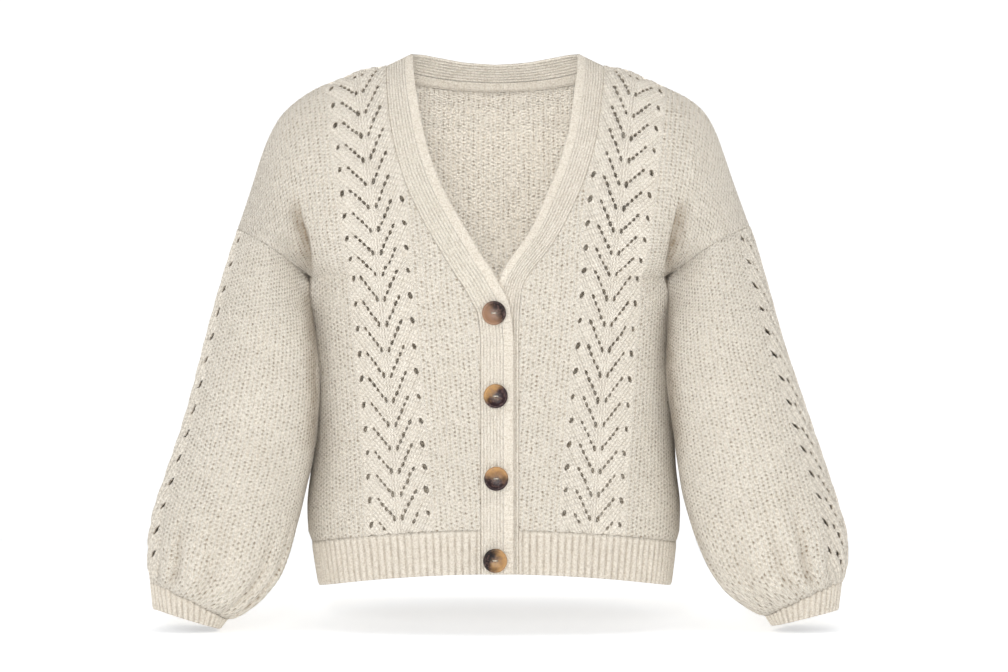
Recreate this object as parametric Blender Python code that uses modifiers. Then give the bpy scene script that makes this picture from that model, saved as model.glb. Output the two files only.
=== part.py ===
"""A button cardigan in lace knit, filled out as when it is worn.

+Z is up, +X is the wearer's left and the front faces -Y. The origin is where the wearer's
shoulders hold the garment: the middle of the neck, level with the top of the shoulder seams.
Sizes are in millimetres until a mesh is made. Distances along the knitting are counted in
repeats of the lace, whose lowest V is repeat 0. A sleeve's angles run round its tube from the
underarm seam, over the front to the outside at 180 degrees, and back behind.
"""

import math
from collections import namedtuple

import bmesh
import bpy
import numpy as np

MM = 0.001
RIGHT, LEFT = -1, 1  # the wearer's sides, as signs of x
FRONT, BACK = -1, 1  # as signs of y
SIDE_NAMES = {RIGHT: "right", LEFT: "left"}
FACE_NAMES = {FRONT: "front", BACK: "back"}

# Cloth
WALL = 2.8
SEAM_GAP = 0.3
SHARPEST_CORNER = 0.4  # limits how far a corner of a patch is drawn in
SAMPLES = 81  # points on a worked-out row before the knitting's own points are read from it

# Knitting, counted in lace repeats
REPEAT = 26.4
FIRST_V_HEIGHT = -490.6
EYELET_HALF = 0.13  # half an eyelet's height, in repeats
BODY_REPEATS = 19
HEM_SEAM_REPEAT = -0.63
UNDERARM_REPEAT = 10 - EYELET_HALF
SHOULDER_REPEAT = 19.4
SLEEVE_REPEATS = 13
SLEEVE_FIRST_ROW = 0.5

# Torso
SIDE_SEAM_Y = 8.0
TORSO_POWER = 2.25
HEM_LIFT = 12.6  # how much higher the hem is at its middle than at the side seams
HEM_LIFT_FADES = (-507.0, -350.0)
RIB_HEIGHT = 46.0
UNDERARM_HEIGHT = FIRST_V_HEIGHT + UNDERARM_REPEAT * REPEAT

Torso = namedtuple("Torso", "height right left front back")
TORSO = [
    Torso(-556, 185, 183, 100, 94),
    Torso(-532, 189, 186, 101, 95),
    Torso(-507, 193, 189, 104, 98),
    Torso(-495, 197, 192, 110, 103),
    Torso(-470, 198, 193, 113, 106),
    Torso(-430, 194, 189, 114, 107),
    Torso(-390, 189, 184, 115, 108),
    Torso(-340, 188, 181, 116, 109),
    Torso(-290, 190, 179, 116, 110),
    Torso(-229, 196, 179, 116, 110),
]

# The edge that the front band is sewn to, as distances from the middle, and how much of the
# chest's depth the edge has on its way back to the shoulder.
NeckEdge = namedtuple("NeckEdge", "height right left depth")
NECK_EDGE = [
    NeckEdge(-560, 16, 24, 1),
    NeckEdge(-300, 16, 24, 1),
    NeckEdge(-285, 17, 24, 1),
    NeckEdge(-268, 19.5, 24.5, 1),
    NeckEdge(-255, 26, 25.5, 1),
    NeckEdge(-240, 34.5, 28, 1),
    NeckEdge(-229, 42, 33.5, 1),
    NeckEdge(-196, 62, 59, 0.93),
    NeckEdge(-166, 79, 76, 0.85),
    NeckEdge(-124, 97.5, 94, 0.71),
    NeckEdge(-79, 109, 106, 0.53),
    NeckEdge(-40, 114, 111, 0.31),
    NeckEdge(-20, 115, 113, 0.15),
    NeckEdge(-8, 115, 113, 0),
]
BACK_NECK_Y = 56.0
BACK_NECK_HEIGHT = -33.0
BACK_NECK_ROUNDNESS = 0.8

# The shoulder seams, from the neck to the outside of the upper arm.
Shoulder = namedtuple("Shoulder", "share right left right_height left_height")
SHOULDER = [
    Shoulder(0.0, 115, 113, -8, -8),
    Shoulder(0.1, 140, 136, -12, -12),
    Shoulder(0.2, 164, 159, -22, -22),
    Shoulder(0.3, 187, 181, -31, -32),
    Shoulder(0.4, 208, 201, -44, -42),
    Shoulder(0.5, 226, 218, -61, -56),
    Shoulder(0.6, 238, 230, -82, -76),
    Shoulder(0.7, 247, 239, -105, -100),
    Shoulder(0.8, 255, 248, -131, -127),
    Shoulder(0.9, 263, 257, -156, -152),
    Shoulder(1.0, 271, 266, -180, -177),
]

SHOULDER_SEAM_BOW = 4.0

# From the chest up to the shoulder seam: how much of the rise is done, and of the depth left.
Profile = namedtuple("Profile", "rise depth")
SHOULDER_REACH = (214, 105)  # the rise and the depth there, for even steps along the profile
SHOULDER_PROFILE = [
    Profile(0, 1),
    Profile(0.2, 0.875),
    Profile(0.4, 0.74),
    Profile(0.6, 0.59),
    Profile(0.78, 0.43),
    Profile(0.9, 0.27),
    Profile(0.97, 0.12),
    Profile(1, 0),
]

# Sleeve rings: along is the distance down the outside from the armhole, outer and inner are
# the ring's ends as seen from the front, depth is half its size from front to back.
Ring = namedtuple("Ring", "along outer_x outer_z inner_x inner_z depth middle")
SLEEVES = {
    RIGHT: [
        Ring(0, 271, -180, 196, UNDERARM_HEIGHT, 77, 4),
        Ring(35, 281, -214, 195.5, -257, 76, -9),
        Ring(79, 293, -256, 191, -290, 74, -18),
        Ring(130, 306.5, -304, 186.5, -337, 72, -25),
        Ring(178, 319, -351, 187.5, -382, 71, -29),
        Ring(226, 333, -397, 192, -424, 72, -31),
        Ring(274, 348.5, -443, 200.5, -461, 73, -31),
        Ring(314, 361, -481, 209, -496, 74, -31),
        Ring(348, 366, -514, 223, -538, 71, -31),
        Ring(368, 365.5, -534, 243, -568, 62, -31),
        Ring(378, 363.5, -543, 268, -586, 48, -31),
        Ring(384, 362, -549, 284.5, -578, 35, -31),
    ],
    LEFT: [
        Ring(0, 266, -177, 179, UNDERARM_HEIGHT, 77, 4),
        Ring(35, 275, -208, 181.5, -257, 76, -9),
        Ring(79, 288, -250, 181, -286, 74, -18),
        Ring(130, 302, -296, 179.5, -328, 72, -25),
        Ring(178, 317, -342, 182, -368, 71, -29),
        Ring(226, 332, -388, 187, -408, 72, -31),
        Ring(274, 347, -434, 194.5, -449, 73, -31),
        Ring(314, 358.5, -471, 204.5, -486, 74, -31),
        Ring(348, 367, -508, 221, -530, 71, -31),
        Ring(368, 367, -529, 239, -558, 62, -31),
        Ring(378, 364.5, -542, 269, -580, 48, -31),
        Ring(384, 362, -549, 290.5, -566, 35, -31),
    ],
}
SEAM_RISE = 5.0  # how far the armhole seam arches above a straight line
UNDERARM_POWER = 1.2  # how fast the armhole opens from its point under the arm
CUFF_HEIGHT = {RIGHT: (27.0, 16.0), LEFT: (29.0, 29.0)}  # at the outside and at the inside
CUFF_DEPTH = 31.0
CUFF_FLARE = 4.0  # how much deeper a cuff is at its sewn end
CUFF_TAPER = 0.09  # the share of its width that it loses on the way down
NEAR_ARMHOLE = 60.0  # how far down the sleeve the armhole's shape fades away
RING_TILT = 4.0
GATHER_DEPTH = 2.5
GATHER_STARTS = 335.0
GATHER_ENDS = 12.0
GATHER_LET_GO = 0.6
LAST_ROW_ROOM, LAST_EYELET_ROOM = 0.3, 0.2  # least lengths in repeats above the cuff

# Lace: distances across the panel from its spine, towards the front edge being negative.
LACE_HALF = 36.0
TIP_NEAR, TIP_FAR = 2.8, 6.4  # the lowest eyelets of a V, beside the spine
SIDE_EYELET_AT = {-1: 31.8, 1: 29.8}
SIDE_EYELET_HALF = 2.6
SIDE_EYELET_SHIFT = {-1: 0.15, 1: -0.21}  # in repeats, from the V's tip
TOP_LACE_ROOM = 8.0
Spine = namedtuple("Spine", "height across")
SPINE = [Spine(-556, 97), Spine(-507, 100), Spine(-229, 122), Spine(0, 147)]
PLAIN_INNER, PLAIN_OUTER = 2, 6  # columns of plain knitting beside the lace
BACK_NECK_COLUMNS = 5
BACK_ROW_STEP = 2
SLEEVE_LACE = {RIGHT: (8, 8), LEFT: (7, 9)}  # armhole stations at the lace's front and back

# Folds: soft troughs pressed into the body in front of and behind each armpit.
Crease = namedtuple("Crease", "height right left depth")
CREASE = [
    Crease(-260, 199, 181, 0),
    Crease(-229, 200, 182, 4),
    Crease(-190, 203, 188, 9),
    Crease(-150, 205, 194, 7),
    Crease(-105, 206, 199, 0),
]
CREASE_WIDTH = 13.0

# Ribs
RIB_PITCH = 7.6
RIB_RELIEF = 0.8
HEM_INNER_STEP = 8
CUFF_RIBS = 30
CUFF_INNER_STEP = 5
BAND_WIDTH = 34.5
BAND_RIDGES = 6
BAND_RIDGE_PITCH = 4.0
BAND_RELIEF = 0.35
BAND_INNER = (0, 4, 14)
BAND_WALL = 2.6
LAP = {RIGHT: 1.7, LEFT: -2.8}  # how far a band stands out where the two overlap
LAP_ENDS = (-258.0, -205.0)
LAP_EASE = 0.25  # the share of the band in which it steps out
BandWidth = namedtuple("BandWidth", "height right left")
BAND_WIDTHS = [
    BandWidth(-300, 34.5, 34.5),
    BandWidth(-262, 34.5, 31),
    BandWidth(-232, 34.5, 25),
    BandWidth(-190, 34.5, 28),
    BandWidth(-140, 34, 31),
    BandWidth(-80, 33, 30),
    BandWidth(-8, 30, 30),
]
FLAT_FRONT = (-250.0, -170.0)  # below this the bands lie flat over the front's middle
STAND_STARTS = -110.0  # above this the band turns to stand up round the neck
STAND_AT_SHOULDER = (0.9, 0, 0.42)  # towards the neck, to the back and up
STAND_AT_BACK = (0, -0.2, 0.98)
BACK_BAND_WIDTH = 27.5

# Buttons
BUTTON_RADIUS = 12.6
BUTTON_HEIGHTS = (-268.0, -354.5, -440.6, -526.2)
BUTTON_X = (-2.0, -0.3, 0.3, -0.8)
BUTTON_THICK = 4.4
BUTTON_SEGMENTS = 20
HOLE_RADIUS = 1.1
HOLE_OFFSET = 2.1

WOOL = ("cream_wool", (0.83, 0.77, 0.66, 1), 0.92)
HORN = ("horn", (0.16, 0.07, 0.03, 1), 0.25)


# ---------------------------------------------------------------- tables and curves


def smooth(rows, column, at):
    """A table's column, read smoothly between its rows by its first column."""
    stations = np.array([row[0] for row in rows], float)
    values = np.array([getattr(row, column) for row in rows], float)
    steps = np.diff(values) / np.diff(stations)
    same_way = steps[1:] * steps[:-1] > 0
    sums = np.where(same_way, steps[1:] + steps[:-1], 1)
    between = np.where(same_way, 2 * steps[1:] * steps[:-1] / sums, 0)
    slopes = np.concatenate([steps[:1], between, steps[-1:]])
    at = np.clip(at, stations[0], stations[-1])
    k = np.clip(np.searchsorted(stations, at) - 1, 0, len(rows) - 2)
    span = stations[k + 1] - stations[k]
    t = (at - stations[k]) / span
    ends = values[k] * (2 * t**3 - 3 * t**2 + 1) + values[k + 1] * (3 * t**2 - 2 * t**3)
    return ends + span * (slopes[k] * (t**3 - 2 * t**2 + t) + slopes[k + 1] * (t**3 - t**2))


def ease(at, start, end):
    """0 before start, 1 after end, and a smooth step between."""
    t = np.clip((at - start) / (end - start), 0, 1)
    return t * t * (3 - 2 * t)


def lengths(line):
    """The distance along a line at each of its points."""
    return np.concatenate([[0], np.cumsum(np.linalg.norm(np.diff(line, axis=0), axis=1))])


def along(line, distance):
    """Points of a line at these distances from its start."""
    at = lengths(line)
    return np.column_stack([np.interp(distance, at, line[:, k]) for k in range(3)])


def evened(line):
    """The line again, with SAMPLES points at equal distances."""
    return along(line, np.linspace(0, lengths(line)[-1], SAMPLES))


# ---------------------------------------------------------------- sleeves' rings


def ring_point(side, distance, degrees):
    """A point round a sleeve, distance mm down its outside from the armhole."""
    rows = SLEEVES[side]
    outer, inner = (
        np.array([side * smooth(rows, f"{end}_x", distance), 0, smooth(rows, f"{end}_z", distance)])
        for end in ("outer", "inner")
    )
    turn = math.radians(degrees)
    near_armhole = 1 - ease(distance, 0, NEAR_ARMHOLE)
    middle = smooth(rows, "middle", distance) + near_armhole * RING_TILT * math.cos(turn)
    inwards = math.cos(turn)
    pointed = 1 - (2 / math.pi * math.acos(inwards)) ** UNDERARM_POWER
    if inwards > 0:
        inwards += near_armhole * (pointed - inwards)
    point = (outer + inner) / 2 - (outer - inner) / 2 * inwards
    point[1] = middle - smooth(rows, "depth", distance) * math.sin(turn)
    point[2] += near_armhole * SEAM_RISE * math.sin(turn) ** 2
    return point


def armhole_degrees(face, repeat):
    """Where a row of the body meets the armhole."""
    share = (repeat - UNDERARM_REPEAT) / (SHOULDER_REPEAT - UNDERARM_REPEAT)
    return 180 * share if face == FRONT else 360 - 180 * share


# ---------------------------------------------------------------- body rows


def half_ring(side, face, height, start=0.0):
    """The torso's outline at a height, from start mm off the middle round to the side seam."""
    half_width = smooth(TORSO, SIDE_NAMES[side], height)
    depth = smooth(TORSO, FACE_NAMES[face], height)
    power = 2 / TORSO_POWER
    first = math.acos((start / half_width) ** (1 / power))
    turn = np.linspace(first, 0, SAMPLES)
    across = half_width * np.cos(turn) ** power
    y = SIDE_SEAM_Y + (face * depth - SIDE_SEAM_Y) * np.sin(turn) ** power
    lift = HEM_LIFT * (1 - ease(height, *HEM_LIFT_FADES)) * (1 - (across / half_width) ** 2)
    return evened(np.column_stack([side * across, y, height + lift]))


def shoulder_line(side):
    """The shoulder seam, from the neck to the outside of the arm."""
    share = np.linspace(0, 1, SAMPLES)
    x = side * smooth(SHOULDER, SIDE_NAMES[side], share)
    z = smooth(SHOULDER, f"{SIDE_NAMES[side]}_height", share)
    y = SHOULDER_SEAM_BOW * (1 - share) * share + 0 * x
    return evened(np.column_stack([x, y, z]))


def back_neck_line(side):
    """The neck edge of the back, from its middle to the shoulder seam."""
    end = shoulder_line(side)[0]
    turn = np.linspace(0, math.pi / 2, SAMPLES)
    x = end[0] * np.sin(turn)
    y = BACK_NECK_Y * np.cos(turn) ** BACK_NECK_ROUNDNESS
    z = end[2] + (BACK_NECK_HEIGHT - end[2]) * np.cos(turn)
    return evened(np.column_stack([x, y, z]))


def profile(share):
    """(rise, depth) at a share of the way from the underarm's level to the shoulder seam."""
    rise, depth = np.array(SHOULDER_PROFILE).T
    up, back = SHOULDER_REACH
    steps = lengths(np.column_stack([rise * up, depth * back, 0 * rise]))
    at = share * steps[-1]
    return np.interp(at, steps, rise), np.interp(at, steps, depth)


def neck_point(side, face, share):
    """The neck edge of a row above the underarm."""
    rise, depth = profile(share)
    if face == BACK:
        low = half_ring(side, BACK, UNDERARM_HEIGHT)[0]
        y = BACK_NECK_Y + (low[1] - BACK_NECK_Y) * depth
        return np.array([0, y, low[2] + (BACK_NECK_HEIGHT - low[2]) * rise])
    start = smooth(NECK_EDGE, SIDE_NAMES[side], UNDERARM_HEIGHT)
    low = half_ring(side, FRONT, UNDERARM_HEIGHT, start)[0]
    height = UNDERARM_HEIGHT + (NECK_EDGE[-1].height - UNDERARM_HEIGHT) * rise
    return np.array([
        side * smooth(NECK_EDGE, SIDE_NAMES[side], height),
        low[1] * smooth(NECK_EDGE, "depth", height),
        height,
    ])


def creased(points):
    """Points of the body, pressed in at the armpit folds."""
    points = points.copy()
    for side, name in SIDE_NAMES.items():
        middle = smooth(CREASE, name, points[:, 2])
        off = (points[:, 0] * side - middle) / CREASE_WIDTH
        deep = smooth(CREASE, "depth", points[:, 2]) * np.exp(-(off**2))
        points[:, 1] -= np.sign(points[:, 1]) * np.minimum(deep, abs(points[:, 1]) / 3)
    return points


def body_row(side, face, repeat):
    """A row of the body's knitting: from the middle or the band's edge out to the side seam,
    or above the underarm to the armhole."""
    if repeat <= UNDERARM_REPEAT:
        height = FIRST_V_HEIGHT + repeat * REPEAT
        start = smooth(NECK_EDGE, SIDE_NAMES[side], height) if face == FRONT else 0.0
        return half_ring(side, face, height, start)
    share = (repeat - UNDERARM_REPEAT) / (SHOULDER_REPEAT - UNDERARM_REPEAT)
    low = body_row(side, face, UNDERARM_REPEAT)
    top = shoulder_line(side)
    if face == BACK:
        top = evened(np.concatenate([back_neck_line(side), top[1:]]))
    rise, depth = profile(share)
    row = low + (top - low) * rise
    row[:, 1] = low[:, 1] * depth + top[:, 1] * (1 - depth)
    across = np.linspace(0, 1, SAMPLES)[:, None]
    arm = ring_point(side, 0, armhole_degrees(face, repeat))
    row += (1 - across) ** 2 * (neck_point(side, face, share) - row[0])
    row += across**2 * (arm - row[-1])
    return np.concatenate([row[:1], creased(row[1:-1]), row[-1:]])


def spine_distance(row):
    """How far along a front row the lace's spine is."""
    off = abs(row[:, 0]) - smooth(SPINE, "across", row[:, 2])
    k = int(np.argmax(off > 0))
    part = off[k - 1] / (off[k - 1] - off[k])
    at = lengths(row)
    return at[k - 1] + part * (at[k] - at[k - 1])


# ---------------------------------------------------------------- patches of knitting


class Patch:
    """Knitting as points at (row, column) knots, and the faces between them."""

    def __init__(self, name):
        self.name = name
        self.points = {}
        self.faces = []
        self.holes = set()

    def cells_to_faces(self, cells):
        """Faces from cells (low row, high row, near column, far column). A knot that a finer
        neighbour put on a cell's side becomes a corner of its face."""
        by_row, by_column = {}, {}
        for row, column in self.points:
            by_row.setdefault(row, []).append(column)
            by_column.setdefault(column, []).append(row)
        for low, high, near, far in cells:
            if (low, high, near, far) in self.holes:
                continue
            bottom = sorted(c for c in by_row[low] if near <= c <= far)
            top = sorted((c for c in by_row[high] if near <= c <= far), reverse=True)
            right = sorted(r for r in by_column[far] if low < r < high)
            left = sorted((r for r in by_column[near] if low < r < high), reverse=True)
            self.faces.append(
                [(low, c) for c in bottom] + [(r, far) for r in right]
                + [(high, c) for c in top] + [(r, near) for r in left]
            )

    def flip(self):
        self.faces = [face[::-1] for face in self.faces]


def newell(corners):
    """A face's normal, as long as twice its area."""
    corners = np.asarray(corners)
    return np.cross(corners, np.roll(corners, -1, axis=0)).sum(0)


def spot(point):
    """A point rounded, so that the two sides of a seam share one key."""
    return tuple(np.round(point, 2) + 0.0)


def shared_normals(patches, pinned):
    """Outward unit normals at every spot, the same on both sides of each seam."""
    sums = {}
    for patch in patches:
        own = {}
        for face in patch.faces:
            corners = [patch.points[key] for key in face]
            normal = newell(corners)
            for corner in corners:
                own[spot(corner)] = own.get(spot(corner), 0) + normal
        for key, total in own.items():
            sums[key] = sums.get(key, 0) + total / np.linalg.norm(total)
    normals = {key: total / np.linalg.norm(total) for key, total in sums.items()}
    normals.update(pinned)
    return normals


def drawn_back(points, faces, gap):
    """The points, with those on an edge or round a hole moved gap mm into the cloth."""
    owner = {}
    for face in faces:
        owner.update(dict.fromkeys(zip(face, face[1:] + face[:1]), face))
    inward = {}
    border = [edge for edge in owner if edge[::-1] not in owner]
    for a, b in border:
        normal = newell([points[key] for key in owner[a, b]])
        into = np.cross(normal, points[b] - points[a])
        into /= np.linalg.norm(into)
        for end in (a, b):
            inward.setdefault(end, []).append(into)
    moved = dict(points)
    for key, ways in inward.items():
        first, last = ways[0], ways[-1]
        moved[key] = points[key] + gap * (first + last) / max(1 + first @ last, SHARPEST_CORNER)
    return moved, border


def wall_mesh(points, normals, faces, wall):
    """(vertices, faces) of the closed wall behind an open patch, with rims round each edge."""
    seam = points
    points, border = drawn_back(points, faces, SEAM_GAP / 2)
    number = {key: k for k, key in enumerate(points)}
    count = len(number)
    vertices = [points[key] for key in number]
    vertices += [points[key] - wall * normals[key] for key in number]
    polygons = [[number[key] for key in face] for face in faces]
    polygons += [[count + k for k in reversed(face)] for face in polygons]
    for a, b in border:
        outer_a, outer_b, inner_a, inner_b = (
            number[a], number[b], count + number[a], count + number[b])
        if spot(seam[a]) < spot(seam[b]):
            polygons += [[outer_b, outer_a, inner_b], [outer_a, inner_a, inner_b]]
        else:
            polygons += [[outer_b, outer_a, inner_a], [outer_b, inner_a, inner_b]]
    return vertices, polygons


# ---------------------------------------------------------------- the body's panels


def front_columns(row):
    """Distances along a front row: the plain columns, the lace's own and the plain ones again."""
    spine, end = spine_distance(row), lengths(row)[-1]
    inner = min(LACE_HALF, spine - TOP_LACE_ROOM)
    squeeze = inner / LACE_HALF
    near_eyelet, far_eyelet = SIDE_EYELET_AT[-1], SIDE_EYELET_AT[1]
    lace = [
        -inner,
        -(near_eyelet + SIDE_EYELET_HALF) * squeeze,
        -(near_eyelet - SIDE_EYELET_HALF) * squeeze,
        -TIP_FAR, -TIP_NEAR, TIP_NEAR, TIP_FAR,
        far_eyelet - SIDE_EYELET_HALF,
        far_eyelet + SIDE_EYELET_HALF,
        LACE_HALF,
    ]
    before = np.linspace(0, spine - inner, PLAIN_INNER + 1)[:-1]
    after = np.linspace(spine + LACE_HALF, end, PLAIN_OUTER + 1)[1:]
    return np.concatenate([before, spine + np.array(lace), after])


LACE_FIRST = PLAIN_INNER
LACE_LAST = PLAIN_INNER + 9
FRONT_LAST = LACE_LAST + PLAIN_OUTER
EYELET_COLUMNS = {
    LACE_FIRST + 1: SIDE_EYELET_SHIFT[-1],
    LACE_FIRST + 3: 0.0,
    LACE_FIRST + 5: 0.0,
    LACE_FIRST + 7: SIDE_EYELET_SHIFT[1],
}


def knit_shift(column, row):
    """How far a knot of the lace is moved along the knitting, in repeats."""
    if row in (HEM_SEAM_REPEAT, SHOULDER_REPEAT):
        return 0.0
    for near, shift in EYELET_COLUMNS.items():
        if column in (near, near + 1):
            return shift
    return 0.0


def body_rows():
    """Rows of the whole repeats, and with them those that only the lace has."""
    whole = [k - EYELET_HALF for k in range(BODY_REPEATS + 1)]
    whole = [HEM_SEAM_REPEAT, *whole, SHOULDER_REPEAT]
    lace = sorted([*whole, *(k + EYELET_HALF for k in range(BODY_REPEATS + 1))])
    return whole, lace


def front_point(side, repeat, column):
    row = body_row(side, FRONT, repeat)
    if repeat == SHOULDER_REPEAT:
        row = shoulder_line(side)
    if column == FRONT_LAST:
        if repeat <= UNDERARM_REPEAT:
            return row[-1]
        return ring_point(side, 0, armhole_degrees(FRONT, repeat))
    if column == 0:
        return row[0]
    return along(row, [front_columns(row)[column]])[0]


def front_panel(side):
    patch = Patch(f"front_{SIDE_NAMES[side]}")
    whole, lace = body_rows()
    cells = []
    for rows, columns in (
        (whole, range(LACE_FIRST)),
        (lace, range(LACE_FIRST, LACE_LAST)),
        (whole, range(LACE_LAST, FRONT_LAST)),
    ):
        cells += [(low, high, c, c + 1) for low, high in zip(rows, rows[1:]) for c in columns]
    for low, high, near, far in cells:
        for knot in ((low, near), (low, far), (high, near), (high, far)):
            row, column = knot
            if knot not in patch.points:
                patch.points[knot] = front_point(side, row + knit_shift(column, row), column)
    for repeat in armhole_knots(side, FRONT):
        patch.points[(repeat, FRONT_LAST)] = front_point(side, repeat, FRONT_LAST)
    for k in range(BODY_REPEATS + 1):
        for column in EYELET_COLUMNS:
            patch.holes.add((k - EYELET_HALF, k + EYELET_HALF, column, column + 1))
    patch.cells_to_faces(cells)
    if side == RIGHT:
        patch.flip()
    return patch


def back_point(side, repeat, share):
    """A point of the back. A share below 0 is in the neck, from -1 at the middle; from 0 to 1
    it runs from the neck's side to the side seam or the armhole."""
    if repeat == SHOULDER_REPEAT:
        line = shoulder_line(side) if share >= 0 else back_neck_line(side)
        return along(line, [(share if share >= 0 else 1 + share) * lengths(line)[-1]])[0]
    row = body_row(side, BACK, repeat)
    if share == 1:
        if repeat <= UNDERARM_REPEAT:
            return row[-1]
        return ring_point(side, 0, armhole_degrees(BACK, repeat))
    neck = lengths(back_neck_line(side))[-1]
    neck /= neck + lengths(shoulder_line(side))[-1]
    part = neck + (1 - neck) * share if share >= 0 else neck * (1 + share)
    return along(row, [part * lengths(row)[-1]])[0]


def back_panel():
    """The back in one piece, its columns keyed by side x (1 + share across)."""
    patch = Patch("back")
    whole, _ = body_rows()
    upper = whole[whole.index(UNDERARM_REPEAT) :]
    rows = sorted({*whole[: -len(upper) : BACK_ROW_STEP], *upper[::BACK_ROW_STEP], upper[-1]})
    middle = [k / BACK_NECK_COLUMNS for k in range(BACK_NECK_COLUMNS)]
    columns = set()
    for side in (RIGHT, LEFT):
        seam = shoulder_line(side)
        shares = front_columns(seam) / lengths(seam)[-1]
        across = [side * (1 + share) for share in (*shares[:-1], 1)]
        kept = [0, LACE_FIRST, LACE_FIRST + 4, *range(LACE_LAST, FRONT_LAST + 1)]
        columns.update([side * m for m in middle], [across[c] for c in kept])
        knots = [(SHOULDER_REPEAT, column) for column in across]
        knots += [(row, side * 2.0) for row in (*whole, *armhole_knots(side, BACK))]
        for row, column in knots:
            patch.points[(row, column)] = back_point(side, row, abs(column) - 1)
    for row in rows:
        for column in columns:
            side = RIGHT if column < 0 else LEFT
            patch.points[(row, column)] = back_point(side, row, abs(column) - 1)
    ordered = sorted(columns)
    patch.cells_to_faces([(low, high, a, b) for low, high in zip(rows, rows[1:])
                          for a, b in zip(ordered, ordered[1:])])
    patch.flip()
    return patch


# ---------------------------------------------------------------- sleeves


def stations():
    """The armhole angles of the body's rows on the front, from the underarm to the outside."""
    whole, _ = body_rows()
    upper = whole[whole.index(UNDERARM_REPEAT) :]
    return [armhole_degrees(FRONT, repeat) for repeat in upper]


def sleeve_columns(side):
    """(angles of the lace's columns, angles of the plain ones in front, and behind)."""
    marks = stations()
    first, last = SLEEVE_LACE[side]
    start, end = marks[first], 360 - marks[last]
    middle, width = (start + end) / 2, end - start
    eyelet = [SIDE_EYELET_AT[1] - SIDE_EYELET_HALF, SIDE_EYELET_AT[1] + SIDE_EYELET_HALF]
    near, far = (width * e / (2 * LACE_HALF) for e in eyelet)
    lace = [start, middle - far, middle - near, middle, middle + near, middle + far, end]
    front = marks[: first + 1]
    back = [360 - m for m in reversed(marks[: last + 1])]
    return lace, front, back


def armhole_knots(side, face):
    """Rows where a column of the sleeve's lace meets this face of the body."""
    lace, _, _ = sleeve_columns(side)
    span = SHOULDER_REPEAT - UNDERARM_REPEAT
    for angle in lace[1:-1]:
        if (angle < 180) == (face == FRONT) and angle != 180:
            share = angle / 180 if face == FRONT else (360 - angle) / 180
            yield UNDERARM_REPEAT + span * share


def sleeve_point(side, row, angle, step):
    """A point of a sleeve at a row counted in repeats, gathered in and out near the cuff."""
    end = SLEEVES[side][-1].along
    distance = min(row * REPEAT, end)
    point = ring_point(side, distance, angle)
    full = end - GATHER_ENDS
    gather = ease(distance, GATHER_STARTS, full)
    gather *= 1 - GATHER_LET_GO * ease(distance, full, end)
    centre = (ring_point(side, distance, 0) + ring_point(side, distance, 180)) / 2
    out = point - centre
    return point + step * GATHER_DEPTH * gather * out / np.linalg.norm(out)


def sleeve_patches(side):
    """The front of a sleeve with its lace, and the rest of it behind."""
    lace, front, back = sleeve_columns(side)
    first = SLEEVE_FIRST_ROW
    whole = [0.0, *(m + first - EYELET_HALF for m in range(SLEEVE_REPEATS))]
    end = SLEEVES[side][-1].along / REPEAT
    whole = [r for r in whole if r < end - LAST_ROW_ROOM] + [end]
    fine = sorted([*whole, *(m + first + EYELET_HALF for m in range(SLEEVE_REPEATS)
                             if m + first + EYELET_HALF < end - LAST_EYELET_ROOM)])
    seam_marks = {*stations(), *(360 - s for s in stations())}
    patches = []
    for name, blocks in (
        ("front", [(front, whole), (lace, fine)]),
        ("back", [(back, whole)]),
    ):
        patch = Patch(f"sleeve_{SIDE_NAMES[side]}_{name}")
        cells, parity = [], {}
        for columns, rows in blocks:
            for column in columns:
                parity.setdefault(column, (-1) ** len(parity))
            cells += [(low, high, a, b) for low, high in zip(rows, rows[1:])
                      for a, b in zip(columns, columns[1:])]
        for low, high, near, far in cells:
            for row, column in ((low, near), (low, far), (high, near), (high, far)):
                shift = 0.0
                if column in lace[1:3] and row not in (0.0, end):
                    shift = -SIDE_EYELET_SHIFT[-1]
                if column in lace[4:6] and row not in (0.0, end):
                    shift = -SIDE_EYELET_SHIFT[1]
                edge = column in (0, 360, lace[-1])
                step = 0 if edge else parity[column]
                patch.points[(row, column)] = sleeve_point(side, row + shift, column % 360, step)
        if name == "front":
            for mark in seam_marks:
                if lace[0] < mark < lace[-1]:
                    patch.points[(0.0, mark)] = sleeve_point(side, 0, mark, 0)
            for row in whole[1:]:
                m = round(row - first + EYELET_HALF)
                for near, far in (lace[1:3], lace[4:6]):
                    patch.holes.add((m + first - EYELET_HALF, m + first + EYELET_HALF, near, far))
        for row in fine:
            patch.points[(row, lace[-1])] = sleeve_point(side, row, lace[-1], 0)
        patch.cells_to_faces(cells)
        if side == LEFT:
            patch.flip()
        patches.append(patch)
    return patches


# ---------------------------------------------------------------- ribbed pieces


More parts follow.
